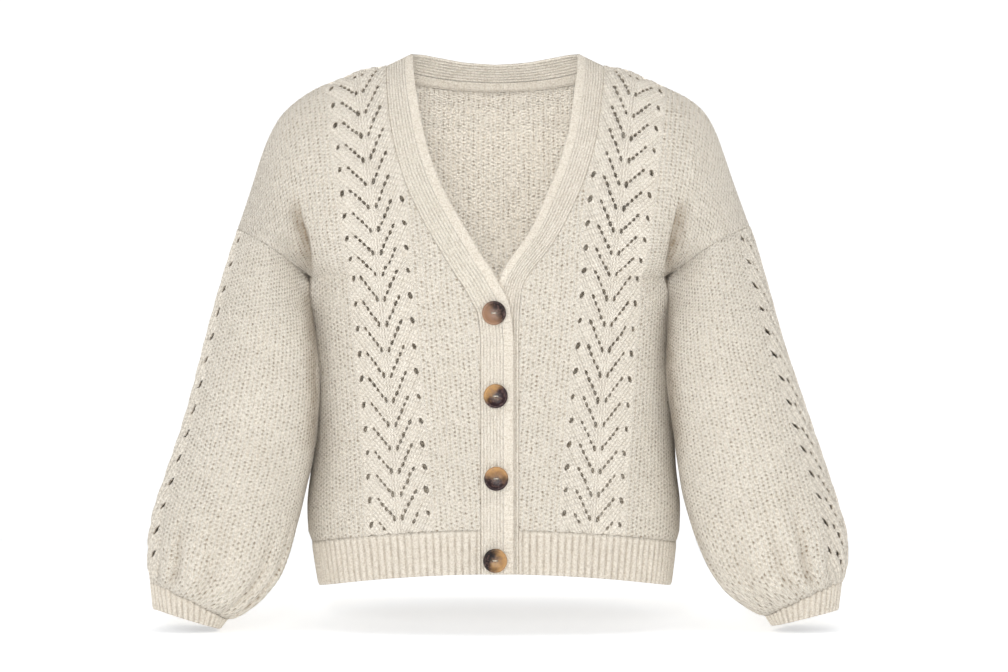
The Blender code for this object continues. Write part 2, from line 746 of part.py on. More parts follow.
def ribbed_mesh(base, normals, relief, inner, closed, wall=WALL):
    """(vertices, faces) of a wall whose outer points are raised over a plain inside.

    base[row][column] are its points, relief is one height for each column, and inner lists
    the columns that the plain inside keeps. Rows run so that row x column faces outwards."""
    base, normals = np.asarray(base), np.asarray(normals)
    rows, columns = base.shape[:2]
    outer = base + normals * np.asarray(relief)[None, :, None]
    inside = (base - normals * wall)[:, inner]
    kept = len(inner)
    vertices = [*outer.reshape(-1, 3), *inside.reshape(-1, 3)]
    start = rows * columns

    def out(r, c):
        return r * columns + c % columns

    def back(r, c):
        return start + r * kept + c % kept

    last = columns if closed else columns - 1
    kept_last = kept if closed else kept - 1
    faces = [[out(r, c), out(r, c + 1), out(r + 1, c + 1), out(r + 1, c)]
             for r in range(rows - 1) for c in range(last)]
    faces += [[back(r, c), back(r + 1, c), back(r + 1, c + 1), back(r, c + 1)]
              for r in range(rows - 1) for c in range(kept_last)]
    for c in range(kept_last):
        stop = inner[c + 1] if c + 1 < kept else columns
        span = range(inner[c], stop + 1)
        faces.append([*(out(0, k) for k in reversed(span)), back(0, c), back(0, c + 1)])
        faces.append([*(out(rows - 1, k) for k in span), back(rows - 1, c + 1),
                      back(rows - 1, c)])
    if not closed:
        for r in range(rows - 1):
            faces.append([out(r, 0), out(r + 1, 0), back(r + 1, 0), back(r, 0)])
            faces.append([out(r + 1, columns - 1), out(r, columns - 1),
                          back(r, kept - 1), back(r + 1, kept - 1)])
    return vertices, faces


def level_normals(line):
    """Unit normals of a line that runs anticlockwise seen from above, pointing out of it."""
    way = np.gradient(line, axis=0)
    out = np.column_stack([way[:, 1], -way[:, 0], 0 * way[:, 0]])
    return out / np.linalg.norm(out, axis=1)[:, None]


def hem_line(side, face, height):
    """The rib's outline, anticlockwise seen from above, without what the seams need."""
    start = smooth(NECK_EDGE, SIDE_NAMES[side], height) if face == FRONT else 0.0
    line = half_ring(side, face, height, start)
    return line if side == face * -1 else line[::-1]


def rib_count(length):
    return max(2, round(length / RIB_PITCH))


def hem_piece(name, lines):
    """A stretch of the hem's rib from its outlines at several heights, bottom first."""
    length = lengths(lines[-1])[-1] - SEAM_GAP
    columns = 2 * rib_count(length) + 1
    base, normals = [], []
    for line in lines:
        at = np.linspace(SEAM_GAP / 2, lengths(line)[-1] - SEAM_GAP / 2, columns)
        base.append(along(line, at))
        normals.append(level_normals(base[-1]))
    relief = [RIB_RELIEF * (-1) ** (c + 1) for c in range(columns)]
    inner = [*range(0, columns - HEM_INNER_STEP // 2, HEM_INNER_STEP), columns - 1]
    return name, *ribbed_mesh(base, normals, relief, inner, False)


def hem_heights():
    top = FIRST_V_HEIGHT + HEM_SEAM_REPEAT * REPEAT
    return (top - RIB_HEIGHT, top - RIB_HEIGHT / 2, top)


def hem_pieces():
    """The ribs of the right front, the back and the left front."""
    heights = hem_heights()
    lower = [0, 0, -SEAM_GAP]
    yield hem_piece("hem_rib_right", [
        hem_line(RIGHT, FRONT, h) + [0, 0, d] for h, d in zip(heights, lower)])
    yield hem_piece("hem_rib_left", [
        hem_line(LEFT, FRONT, h) + [0, 0, d] for h, d in zip(heights, lower)])
    yield hem_piece("hem_rib_back", [
        np.concatenate([hem_line(LEFT, BACK, h), hem_line(RIGHT, BACK, h)[1:]]) + [0, 0, d]
        for h, d in zip(heights, lower)])


def cuff_piece(side):
    """A cuff: ribs round a short tube that hangs straight down from the sleeve's last ring."""
    end = SLEEVES[side][-1].along
    outer, inner = ring_point(side, end, 180), ring_point(side, end, 0)
    centre, half = (outer + inner) / 2, (outer - inner) / 2
    base, normals = [], []
    turns = np.linspace(0, 2 * math.pi, 2 * CUFF_RIBS, endpoint=False)
    for part in (1.0, 0.5, 0.0):
        line = []
        for turn in turns * side:
            deep = CUFF_DEPTH + CUFF_FLARE * (1 - part)
            outside = (1 - math.cos(turn)) / 2
            reach = CUFF_HEIGHT[side][0] * outside + CUFF_HEIGHT[side][1] * (1 - outside)
            point = centre - half * (1 - CUFF_TAPER * part) * math.cos(turn)
            line.append(point + [0, -deep * math.sin(turn), -SEAM_GAP - part * reach])
        base.append(np.array(line))
        way = np.roll(base[-1], -1, axis=0) - np.roll(base[-1], 1, axis=0)
        out = np.cross(way, (0, 0, 1))
        normals.append(out / np.linalg.norm(out, axis=1)[:, None])
    relief = [RIB_RELIEF * (-1) ** c for c in range(2 * CUFF_RIBS)]
    inner_columns = list(range(0, 2 * CUFF_RIBS, CUFF_INNER_STEP))
    return f"cuff_{SIDE_NAMES[side]}", *ribbed_mesh(base, normals, relief, inner_columns, True)


# ---------------------------------------------------------------- bands


def neck_loop():
    """The whole edge that the bands are sewn to, from the right hem up, round the neck and
    down to the left hem, and the numbers of the points at the two shoulder seams."""
    whole, _ = body_rows()
    bottom = hem_heights()[0]
    ups = {}
    for side in (RIGHT, LEFT):
        start = smooth(NECK_EDGE, SIDE_NAMES[side], bottom)
        low = half_ring(side, FRONT, bottom, start)[0]
        ups[side] = [low, *(front_point(side, repeat, 0) for repeat in whole)]
    back = [back_point(RIGHT, SHOULDER_REPEAT, -k / BACK_NECK_COLUMNS)
            for k in range(1, BACK_NECK_COLUMNS)]
    back.append(back_neck_line(RIGHT)[0])
    back += [back_point(LEFT, SHOULDER_REPEAT, k / BACK_NECK_COLUMNS - 1)
             for k in range(1, BACK_NECK_COLUMNS)]
    line = np.array([*ups[RIGHT], *back, *reversed(ups[LEFT])])
    first = len(ups[RIGHT]) - 1
    return line, (first, first + len(back) + 1)


def band_across():
    """(distance across the band, height of its ridges) for each of its columns."""
    at, relief = [SEAM_GAP / 2], [-BAND_RELIEF]
    for ridge in range(BAND_RIDGES):
        at += [(ridge + 0.5) * BAND_RIDGE_PITCH, (ridge + 1) * BAND_RIDGE_PITCH]
        relief += [BAND_RELIEF, -BAND_RELIEF]
    return [*at, at[-1] + 1.5, BAND_WIDTH], [*relief, BAND_RELIEF, BAND_RELIEF / 2]


def band_ways(line, out):
    """Vectors across the band at each point of the neck loop, as long as it is wide there."""
    steep = ease(line[:, 2], *FLAT_FRONT)[:, None]
    way = np.cross(np.gradient(line, axis=0), out * steep + (1 - steep) * (0, -1, 0))
    way /= np.linalg.norm(way, axis=1)[:, None]
    shoulder = smooth(NECK_EDGE, "right", NECK_EDGE[-1].height)
    ways = []
    for (x, y, z), flat in zip(line, way):
        side = RIGHT if x < 0 else LEFT
        stand = np.array(STAND_AT_SHOULDER) * (-side, 1, 1)
        if y > 1:
            share = min(abs(x) / shoulder, 1) ** 2
            stand = np.array(STAND_AT_BACK) * (1 - share) + stand * share
            width = BACK_BAND_WIDTH + (BAND_WIDTHS[-1].right - BACK_BAND_WIDTH) * share
        else:
            turned = ease(z, STAND_STARTS, NECK_EDGE[-1].height)
            stand = flat * (1 - turned) + stand * turned
            width = smooth(BAND_WIDTHS, SIDE_NAMES[side], z)
        ways.append(stand / np.linalg.norm(stand) * width)
    return np.array(ways)


def mitred_bands(normals):
    """(neck loop, ways across the bands, outward normals of the bands, shoulder numbers), with
    the panels' normals at that seam turned halfway to the bands' own."""
    line, shoulders = neck_loop()
    panel = [normals.get(spot(point)) for point in line]
    panel[0], panel[-1] = panel[1], panel[-2]
    ways = band_ways(line, np.array(panel))
    out = np.cross(ways, np.gradient(line, axis=0))
    out /= np.linalg.norm(out, axis=1)[:, None]
    for point, ours, theirs in zip(line, out, panel):
        normals[spot(point)] = (ours + theirs) / np.linalg.norm(ours + theirs)
    return line, ways, out, shoulders


def band_pieces(line, ways, out, shoulders, normals):
    at, relief = band_across()
    for name, stretch, side in (
        ("front_band_right", slice(0, shoulders[0] + 1), RIGHT),
        ("back_neckband", slice(shoulders[0], shoulders[1] + 1), None),
        ("front_band_left", slice(shoulders[1], len(line)), LEFT),
    ):
        base, faces_out = [], []
        for point, way, normal in zip(line[stretch], ways[stretch], out[stretch]):
            share = np.array(at) / BAND_WIDTH
            share[0] = SEAM_GAP / 2 / np.linalg.norm(way)
            row = point + np.outer(share, way)
            if side is not None:
                lap = LAP[side] * (1 - ease(point[2], *LAP_ENDS))
                row = row + np.outer(lap * ease(share, 0, LAP_EASE), normal)
            base.append(row)
            faces_out.append([normals[spot(point)], *[normal] * (len(at) - 1)])
        base = np.array(base)
        for end, inwards in ((0, 1), (-1, -2)):
            step = base[inwards] - base[end]
            base[end] += step / np.linalg.norm(step, axis=1)[:, None] * SEAM_GAP / 2
        yield name, *ribbed_mesh(base, faces_out, relief, BAND_INNER, False, BAND_WALL)


# ---------------------------------------------------------------- Blender objects


def knit_object(name, vertices, faces, collection, material):
    mesh = bpy.data.meshes.new(name)
    mesh.from_pydata([tuple(np.asarray(v) * MM) for v in vertices], [], faces)
    work = bmesh.new()
    work.from_mesh(mesh)
    many = [face for face in work.faces if len(face.verts) > 3]
    bmesh.ops.triangulate(work, faces=many, quad_method="SHORT_EDGE", ngon_method="BEAUTY")
    work.to_mesh(mesh)
    work.free()
    mesh.shade_smooth()
    mesh.set_sharp_from_angle(angle=math.radians(50))
    obj = bpy.data.objects.new(name, mesh)
    obj.data.materials.append(material)
    collection.objects.link(obj)
    return obj


def button_profile():
    """Half the button's outline: a shallow dish with a rolled rim and a flat back."""
    thick = BUTTON_THICK
    return [
        (0, thick - 1.6), (8.6, thick - 0.9), (10.6, thick), (12.0, thick - 0.5),
        (BUTTON_RADIUS, thick - 1.9), (11.4, 0), (0, 0),
    ]


def button(number, seat, collection, cutters, material):
    """A turned button with two holes, its back at seat and its face to -Y."""
    mesh = bpy.data.meshes.new(f"button_{number}")
    outline = [(x * MM, 0, z * MM) for x, z in button_profile()]
    mesh.from_pydata(outline, [(k, k + 1) for k in range(len(outline) - 1)], [])
    obj = bpy.data.objects.new(f"button_{number}", mesh)
    obj.data.materials.append(material)
    collection.objects.link(obj)
    obj.location = [c * MM for c in seat]
    obj.rotation_euler = (math.pi / 2, 0, 0)
    turn = obj.modifiers.new("turn", "SCREW")
    turn.steps = turn.render_steps = BUTTON_SEGMENTS
    turn.use_merge_vertices = True
    turn.merge_threshold = 0.00001
    for sign in (-1, 1):
        bpy.ops.mesh.primitive_cylinder_add(
            vertices=8, radius=HOLE_RADIUS * MM, depth=4 * BUTTON_THICK * MM)
        cutter = bpy.context.object
        cutter.name = f"hole_{number}_{'a' if sign < 0 else 'b'}"
        for owner in list(cutter.users_collection):
            owner.objects.unlink(cutter)
        cutters.objects.link(cutter)
        cutter.location = ((seat[0] + sign * HOLE_OFFSET) * MM, seat[1] * MM, seat[2] * MM)
        cutter.rotation_euler = (math.pi / 2, 0, 0)
        cutter.hide_render = True
        cutter.display_type = "WIRE"
        cut = obj.modifiers.new("hole", "BOOLEAN")
        cut.operation = "DIFFERENCE"
        cut.object = cutter
    return obj


def button_seat(band, number):
    """The place for a button's flat back: just clear of the band's highest ridge under it."""
    x, z = BUTTON_X[number], BUTTON_HEIGHTS[number]
    columns = len(band_across()[0])
    rows = len(band) // (columns + len(BAND_INNER))
    outer = np.array(band[: rows * columns]).reshape(rows, columns, 3)
    under = abs(outer[:, :, 0] - x) < BUTTON_RADIUS + BAND_RIDGE_PITCH
    crest = np.where(under, outer[:, :, 1], 0).min(axis=1)
    at = np.linspace(z - BUTTON_RADIUS, z + BUTTON_RADIUS, 9)
    return x, np.interp(at, outer[:, :, 2].mean(axis=1), crest).min() - SEAM_GAP, z


def principled(name, colour, roughness):
    material = bpy.data.materials.new(name)
    material.use_nodes = True
    shader = material.node_tree.nodes["Principled BSDF"]
    shader.inputs["Base Color"].default_value = colour
    shader.inputs["Roughness"].default_value = roughness
    shader.inputs["Metallic"].default_value = 0
    return material


def main():
    for obj in list(bpy.data.objects):
        bpy.data.objects.remove(obj)
    parts = bpy.data.collections.new("button_cardigan")
    cutters = bpy.data.collections.new("cutters")
    for collection in (parts, cutters):
        bpy.context.scene.collection.children.link(collection)
    wool, horn = principled(*WOOL), principled(*HORN)

    patches = [front_panel(RIGHT), front_panel(LEFT), back_panel()]
    for side in (RIGHT, LEFT):
        patches += sleeve_patches(side)
    underarms = {spot(ring_point(side, 0, 0)): np.array([side * 0.15, 0, -0.99])
                 for side in (RIGHT, LEFT)}
    normals = shared_normals(patches, underarms)
    loop = mitred_bands(normals)
    for patch in patches:
        own = {key: normals[spot(point)] for key, point in patch.points.items()}
        knit_object(patch.name, *wall_mesh(patch.points, own, patch.faces, WALL), parts, wool)

    bands = {name: (vertices, faces) for name, vertices, faces in band_pieces(*loop, normals)}
    for name, (vertices, faces) in bands.items():
        knit_object(name, vertices, faces, parts, wool)
    for name, vertices, faces in (*hem_pieces(), cuff_piece(RIGHT), cuff_piece(LEFT)):
        knit_object(name, vertices, faces, parts, wool)
    for number in range(len(BUTTON_HEIGHTS)):
        seat = button_seat(bands["front_band_right"][0], number)
        button(number + 1, seat, parts, cutters, horn)


main()
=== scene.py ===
"""The looks of the button cardigan: chunky cream lace knit with tortoiseshell buttons.

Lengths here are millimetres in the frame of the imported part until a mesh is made. The shape
is worked out from the same named sizes and tables as the part's, on a much finer grid.
"""

import math
from collections import namedtuple

import bmesh
import bpy
import numpy as np
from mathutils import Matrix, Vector


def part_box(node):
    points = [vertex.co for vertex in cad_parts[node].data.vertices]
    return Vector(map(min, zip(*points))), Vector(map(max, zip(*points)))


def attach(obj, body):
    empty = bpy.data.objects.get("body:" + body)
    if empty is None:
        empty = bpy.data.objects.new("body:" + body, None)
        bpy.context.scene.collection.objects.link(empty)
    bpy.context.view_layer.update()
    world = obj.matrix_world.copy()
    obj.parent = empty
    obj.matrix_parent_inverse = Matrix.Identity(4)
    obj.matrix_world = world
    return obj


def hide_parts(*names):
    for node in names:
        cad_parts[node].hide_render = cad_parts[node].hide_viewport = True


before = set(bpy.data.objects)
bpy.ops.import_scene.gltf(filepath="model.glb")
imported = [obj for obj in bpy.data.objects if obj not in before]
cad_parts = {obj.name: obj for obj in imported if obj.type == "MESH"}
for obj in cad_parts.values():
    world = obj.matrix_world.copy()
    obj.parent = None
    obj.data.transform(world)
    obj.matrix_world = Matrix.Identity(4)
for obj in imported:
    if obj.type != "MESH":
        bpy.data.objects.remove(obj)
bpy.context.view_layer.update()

MM = 0.001
RIGHT, LEFT = -1, 1  # the wearer's sides, as signs of x
FRONT, BACK = -1, 1  # as signs of y
SIDE_NAMES = {RIGHT: "right", LEFT: "left"}
FACE_NAMES = {FRONT: "front", BACK: "back"}
SAMPLES = 161  # points on each curve
SEAM_GAP = 0.3
TURN = 2 * math.pi


def table(columns, *rows):
    """Rows whose columns have names."""
    return [namedtuple("Row", columns)(*row) for row in rows]


# ---------------------------------------------------------------- the cut, as in the part

REPEAT = 26.4
FIRST_V_HEIGHT = -490.6
EYELET_HALF = 0.13
HEM_SEAM_REPEAT = -0.63
UNDERARM_REPEAT = 10 - EYELET_HALF
SHOULDER_REPEAT = 19.4
BODY_VS = 20
SLEEVE_FIRST_ROW = 0.5
SLEEVE_VS = 14

SIDE_SEAM_Y = 8.0
TORSO_POWER = 2.55
HEM_LIFT = 12.6
HEM_LIFT_FADES = (-507.0, -350.0)
RIB_HEIGHT = 46.0
HEM_SEAM = FIRST_V_HEIGHT + HEM_SEAM_REPEAT * REPEAT
UNDERARM_HEIGHT = FIRST_V_HEIGHT + UNDERARM_REPEAT * REPEAT

TORSO = table(
    "height right left front back",
    (-556, 185, 183, 100, 94),
    (-532, 189, 186, 101, 95),
    (-507, 193, 189, 104, 98),
    (-495, 197, 192, 110, 103),
    (-470, 198, 193, 113, 106),
    (-430, 194, 189, 114, 107),
    (-390, 191, 187, 115, 108),
    (-340, 192, 185, 116, 109),
    (-290, 195, 183, 116, 110),
    (-252, 197, 183, 116, 110),
    (-229, 196, 179, 116, 110),
)

NECK_EDGE = table(
    "height right left depth",
    (-560, 16, 24, 1),
    (-300, 16, 24, 1),
    (-285, 17, 24, 1),
    (-268, 19.5, 24.5, 1),
    (-255, 26, 25.5, 1),
    (-240, 34.5, 28, 1),
    (-229, 42, 33.5, 1),
    (-196, 62, 59, 0.93),
    (-166, 79, 76, 0.85),
    (-124, 97.5, 94, 0.71),
    (-79, 109, 106, 0.53),
    (-40, 114, 111, 0.31),
    (-20, 115, 113, 0.15),
    (-8, 115, 113, 0),
)
BACK_NECK_Y = 56.0
BACK_NECK_HEIGHT = -33.0
BACK_NECK_POWER = 0.8

SHOULDER = table(
    "share right left right_height left_height",
    (0.0, 115, 113, -8, -8),
    (0.1, 140, 136, -12, -12),
    (0.2, 164, 159, -22, -22),
    (0.3, 187, 181, -31, -32),
    (0.4, 208, 201, -44, -42),
    (0.5, 226, 218, -61, -56),
    (0.6, 238, 230, -82, -76),
    (0.7, 247, 239, -105, -100),
    (0.8, 255, 248, -131, -127),
    (0.9, 263, 257, -156, -152),
    (1.0, 271, 266, -180, -177),
)

SHOULDER_SIZE = (214, 105)  # how high and how deep its curve is
SHOULDER_PROFILE = table(
    "rise depth",
    (0, 1),
    (0.2, 0.875),
    (0.4, 0.74),
    (0.6, 0.59),
    (0.78, 0.43),
    (0.9, 0.27),
    (0.97, 0.12),
    (1, 0),
)

RING = "along outer_x outer_z inner_x inner_z depth middle"
SLEEVES = {
    RIGHT: table(
        RING,
        (0, 271, -180, 196, UNDERARM_HEIGHT, 77, 4),
        (35, 281, -214, 195.5, -257, 76, -9),
        (79, 293, -256, 191, -290, 74, -18),
        (130, 306.5, -304, 186.5, -337, 72, -25),
        (178, 319, -351, 187.5, -382, 71, -29),
        (226, 333, -397, 192, -424, 72, -31),
        (274, 348.5, -443, 200.5, -461, 73, -31),
        (314, 361, -481, 209, -496, 74, -31),
        (348, 366, -514, 223, -538, 71, -31),
        (368, 365.5, -534, 243, -565.5, 62, -31),
        (378, 363.5, -543, 268, -584, 48, -31),
        (384, 362, -549, 281, -588, 35, -31),
    ),
    LEFT: table(
        RING,
        (0, 266, -177, 179, UNDERARM_HEIGHT, 77, 4),
        (35, 275, -208, 181.5, -257, 76, -9),
        (79, 288, -250, 181, -286, 74, -18),
        (130, 302, -296, 179.5, -328, 72, -25),
        (178, 317, -342, 182, -368, 71, -29),
        (226, 332, -388, 187, -408, 72, -31),
        (274, 347, -434, 194.5, -449, 73, -31),
        (314, 358.5, -471, 204.5, -486, 74, -31),
        (348, 367, -508, 221, -530, 71, -31),
        (368, 367, -529, 239, -558, 62, -31),
        (378, 364.5, -542, 269, -580, 48, -31),
        (384, 362, -549, 282, -584.5, 35, -31),
    ),
}
SEAM_RISE = 5.0  # how much higher the armhole seam lies in front and behind
SEAM_SHIFT = 4.0  # how far it lies backwards under the arm and forwards on the shoulder
SEAM_REACH = 60.0  # how far down the sleeve both fade
UNDERARM_POWER = 1.2
INSIDE_FULLNESS = 0.36  # how much squarer than an oval the sleeve is beside the body
CUFF_HEIGHT = {RIGHT: (27.0, 14.0), LEFT: (28.0, 14.0)}
CUFF_LENGTH = 28
CUFF_DEPTH = 31.0
CUFF_FLARE = 4.0
CUFF_TAPER = (0.09, 0.19)  # at its outer and its inner end
CUFF_TUCK = 0.14  # the share of its height that goes up inside the sleeve

LACE_HALF = 36.0
SPINE = table("height across", (-556, 97), (-507, 100), (-229, 122), (0, 147))
SLEEVE_SPINE = {RIGHT: 178.0, LEFT: 165.0}  # angles of the sleeves' lace
SLEEVE_LEAN = 3.0  # how far the sleeves' insides press into the flanks
SLEEVE_LEANS = (0, 13, 130, 226)  # down the sleeve
SLEEVE_LACE_HALF = 29.0  # degrees

CREASE = table(
    "height right left depth",
    (-260, 199, 181, 0),
    (-229, 200, 182, 4),
    (-190, 203, 188, 9),
    (-150, 205, 194, 7),
    (-105, 206, 199, 0),
)
CREASE_WIDTH = 13.0
# Where the sleeve's cloth goes in behind the front's: the fold's line, seen from the front.
FOLD_LINE = table(
    "height right left",
    (-428, 193, 189),
    (-358, 189, 182),
    (-273, 192, 177),
    (-228, 194, 178),
    (-193, 198, 184),
    (-165, 205, 190),
    (-140, 208, 195),
)
FOLD_WIDTH = 9.0
FOLD_ENDS = ((-135, -180), (-440, -380))  # the heights where it fades in, from both ends
FOLD_DEPTH = 3.0
UNDERARM_FILL = 29.0  # how far forwards the underarm's corner is filled out
UNDERARM_FILL_SIZE = (16, 30, 27)  # how far that reaches across, deep and up
UNDERARM_FILL_AT = (20, 7)  # its middle, forwards and down
UNDERARM_BULGE, UNDERARM_BULGE_REACH = 2.4, 9

BAND_WIDTH = 34.5
LAP = {RIGHT: 1.7, LEFT: -2.8}
LAP_ENDS = (-258.0, -205.0)
BAND_WIDTHS = table(
    "height right left",
    (-300, 34.5, 34.5),
    (-262, 34.5, 31),
    (-232, 34.5, 25),
    (-190, 34.5, 28),
    (-140, 34, 31),
    (-80, 33, 30),
    (-8, 30, 30),
)
FLAT_FRONT = (-250.0, -170.0)
STAND_STARTS = -110.0
STAND_AT_SHOULDER = (0.9, 0, 0.42)
NECK_TOP = table("out height", (0, -6), (30, -4), (60, 1), (80, 4.3), (88, 4.6))
NECK_TOP_LEAN = 0.1  # how much nearer to the middle its top is, as a share

# ---------------------------------------------------------------- the knitting

WALE = 5.3  # one column of stitches
COURSE = 4.4  # one row of stitches
WALL = 1.8  # how far a cut edge of the knitting turns in
# Painted shade deep in the eyelets' turned-in walls, and less where a wall is on a seam.
DEEP_PAINTED_SHADE = 1.7  # how dark it is at the wall's far side
SEAM_PAINTED_SHADE = 0.1
RELAXING = 130  # how many times the back's cloth is evened out below the neck's corners
LACE_STEP, PLAIN_STEP, ROW_STEP, BACK_STEP = 1.08, WALE / 4, COURSE / 3, COURSE / 2
INNER_COLUMNS, OUTER_COLUMNS = 52, 142  # of points, on the two sides of a front's lace
BACK_COLUMNS = 155  # of points, on each half of the back
STITCH_RELIEF = 0.4
RIDGES = 4  # between two lines of eyelets
RIDGE_RELIEF = 0.28
ARM_RELIEF = 0.75  # how plump the knitting stands between two lines of eyelets
SPINE_RIB = 3.2
TIP = 4.4  # of a V's lowest eyelets, from the spine
ARM_RISE = {-1: 1.87, 1: 1.35}  # how steeply the inner and the outer arm of a V climb
Eyelet = namedtuple("Eyelet", "across up half_width half_height turn")
V_EYELETS = [
    Eyelet(-TIP, 0, 1.8, 3.6, 8),
    Eyelet(TIP, 0, 1.8, 3.6, -8),
    *(Eyelet(-TIP - 3.8 * k, 7.1 * k, 1.65, 2.9, 22) for k in range(1, 5)),
    *(Eyelet(TIP + 4.0 * k, 5.4 * k, 1.65, 2.5, -30) for k in range(1, 5)),
]
FRONT_LACE = V_EYELETS + [Eyelet(-31.8, 30.0, 2.1, 3.7, -16), Eyelet(29.8, 21.4, 2.1, 3.6, 16)]
SLEEVE_LACE = [
    *(row for row in V_EYELETS if row.across > -TIP - 1),
    *(Eyelet(-TIP - 4.6 * k, 8.2 * k, 2.7, 2.9, 30) for k in range(1, 4)),
    Eyelet(-30.5, 30.0, 1.45, 6.2, 38),
    Eyelet(29.8, 21.4, 1.5, 5.2, -30),
]
EYELET_WINDOW = 6.0  # how far round an eyelet points may move
HEM_RIB_PITCH = 7.6
HEM_ROWS = 15
HEM_POINTS = 8  # across a rib
HEM_RELIEF = 1.1
CUFF_RIBS = 38
CUFF_ROWS = 14
CUFF_POINTS = 7  # across a rib
RIB_COURSE = 5.2  # one row of stitches in the ribbing
BAND_ROWS, BAND_HEM_ROWS, BAND_NECK_ROWS = 190, 17, 95  # of points, along the bands
BAND_COLUMNS = 56
BAND_UNDER = 0.05  # the share of its width that lies under the panel's edge
BAND_THICK = 2.5
BAND_RIDGES = 7
BAND_RIDGE_PITCH = 3.4
BAND_RELIEF = 0.3


# ---------------------------------------------------------------- curves


def smooth(rows, column, at):
    """A table's column, by name or side, read smoothly between its rows by its first one."""
    column = SIDE_NAMES.get(column, column)
    stations = np.array([row[0] for row in rows], float)
    values = np.array([getattr(row, column) for row in rows], float)
    steps = np.diff(values) / np.diff(stations)
    same_way = steps[1:] * steps[:-1] > 0
    sums = np.where(same_way, steps[1:] + steps[:-1], 1)
    between = np.where(same_way, 2 * steps[1:] * steps[:-1] / sums, 0)
    slopes = np.concatenate([steps[:1], between, steps[-1:]])
    at = np.clip(at, stations[0], stations[-1])
    k = np.clip(np.searchsorted(stations, at) - 1, 0, len(rows) - 2)
    span = stations[k + 1] - stations[k]
    t = (at - stations[k]) / span
    ends = values[k] * (2 * t**3 - 3 * t**2 + 1) + values[k + 1] * (3 * t**2 - 2 * t**3)
    return ends + span * (slopes[k] * (t**3 - 2 * t**2 + t) + slopes[k + 1] * (t**3 - t**2))


def ease(at, start, end):
    t = np.clip((at - start) / (end - start), 0, 1)
    return t * t * (3 - 2 * t)


def hill(off, width):
    """1 where off is 0, fading over the width on both sides."""
    return np.exp(-((off / width) ** 2))


def turned(dx, dy, degrees):
    """How far along and across a tilted direction a point is."""
    cos, sin = math.cos(math.radians(degrees)), math.sin(math.radians(degrees))
    return dx * cos + dy * sin, dy * cos - dx * sin


def lengths(line):
    return np.concatenate([[0], np.cumsum(np.linalg.norm(np.diff(line, axis=0), axis=1))])


def along(line, distance):
    at = lengths(line)
    return np.column_stack([np.interp(distance, at, line[:, k]) for k in range(3)])


def evened(line):
    return along(line, np.linspace(0, lengths(line)[-1], SAMPLES))


def unit(vectors):
    return vectors / np.linalg.norm(vectors, axis=-1, keepdims=True)


def ring_points(side, distance, degrees):
    """Points round a sleeve, distance mm down its outside from the armhole."""
    distance, degrees = np.broadcast_arrays(np.asarray(distance, float), degrees)
    rows = SLEEVES[side]

    def read(name):
        return smooth(rows, name, distance)

    turn = np.radians(degrees)
    near = 1 - ease(distance, 0, SEAM_REACH)
    inwards = np.cos(turn)
    pointed = 1 - (2 / math.pi * np.arccos(inwards)) ** UNDERARM_POWER
    inwards = np.where(inwards > 0, inwards + near * (pointed - inwards), inwards)
    outer_x, inner_x, outer_z, inner_z = map(read, ("outer_x", "inner_x", "outer_z", "inner_z"))
    starts, full, lets_go, ends = SLEEVE_LEANS
    inner_x = inner_x - SLEEVE_LEAN * ease(distance, starts, full) * ease(distance, ends, lets_go)
    x = side * ((outer_x + inner_x) / 2 - (outer_x - inner_x) / 2 * inwards)
    z = (outer_z + inner_z) / 2 - (outer_z - inner_z) / 2 * inwards
    fullness = 1 - INSIDE_FULLNESS * np.clip(np.cos(turn), 0, 1)
    bulge = np.sign(np.sin(turn)) * abs(np.sin(turn)) ** fullness
    y = read("middle") + near * SEAM_SHIFT * np.cos(turn) - read("depth") * bulge
    return np.stack([x, y, z + near * SEAM_RISE * np.sin(turn) ** 2], axis=-1)


def armhole_degrees(face, repeat):
    """Where round the sleeve's first ring a row of the body ends."""
    share = (repeat - UNDERARM_REPEAT) / (SHOULDER_REPEAT - UNDERARM_REPEAT)
    return 180 * share if face == FRONT else 360 - 180 * share


def half_ring(side, face, height, start):
    """The torso's outline at a height, from start mm off the middle round to the side seam."""
    half_width = smooth(TORSO, side, height)
    depth = smooth(TORSO, FACE_NAMES[face], height)
    power = 2 / TORSO_POWER
    first = math.acos((start / half_width) ** (1 / power))
    turn = np.linspace(first, 0, SAMPLES)
    across = half_width * np.cos(turn) ** power
    y = SIDE_SEAM_Y + (face * depth - SIDE_SEAM_Y) * np.sin(turn) ** power
    lift = HEM_LIFT * (1 - ease(height, *HEM_LIFT_FADES)) * (1 - (across / half_width) ** 2)
    return evened(np.column_stack([side * across, y, height + lift]))


def panel_ring(side, face, height):
    """The outline of a front, from the band's edge, or of half the back, at a height."""
    start = smooth(NECK_EDGE, side, height) if face == FRONT else 0.0
    return half_ring(side, face, height, start)


def shoulder_line(side):
    """The shoulder seam, from the neck out to the armhole."""
    share = np.linspace(0, 1, SAMPLES)
    x = side * smooth(SHOULDER, side, share)
    z = smooth(SHOULDER, f"{SIDE_NAMES[side]}_height", share)
    y = 4 * (1 - share) * share + 0 * x
    return evened(np.column_stack([x, y, z]))


def back_neck_line(side):
    """The back neck's edge, from the middle out to the shoulder seam."""
    end = shoulder_line(side)[0]
    turn = np.linspace(0, math.pi / 2, SAMPLES)
    x = end[0] * np.sin(turn)
    y = BACK_NECK_Y * np.cos(turn) ** BACK_NECK_POWER
    z = end[2] + (BACK_NECK_HEIGHT - end[2]) * np.cos(turn)
    return evened(np.column_stack([x, y, z]))


def profile(share):
    """How far up and how far out a row is on its way to the shoulder, as shares."""
    rise, depth = np.array(SHOULDER_PROFILE).T
    height, reach = SHOULDER_SIZE
    steps = lengths(np.column_stack([rise * height, depth * reach, 0 * rise]))
    at = share * steps[-1]
    return np.interp(at, steps, rise), np.interp(at, steps, depth)


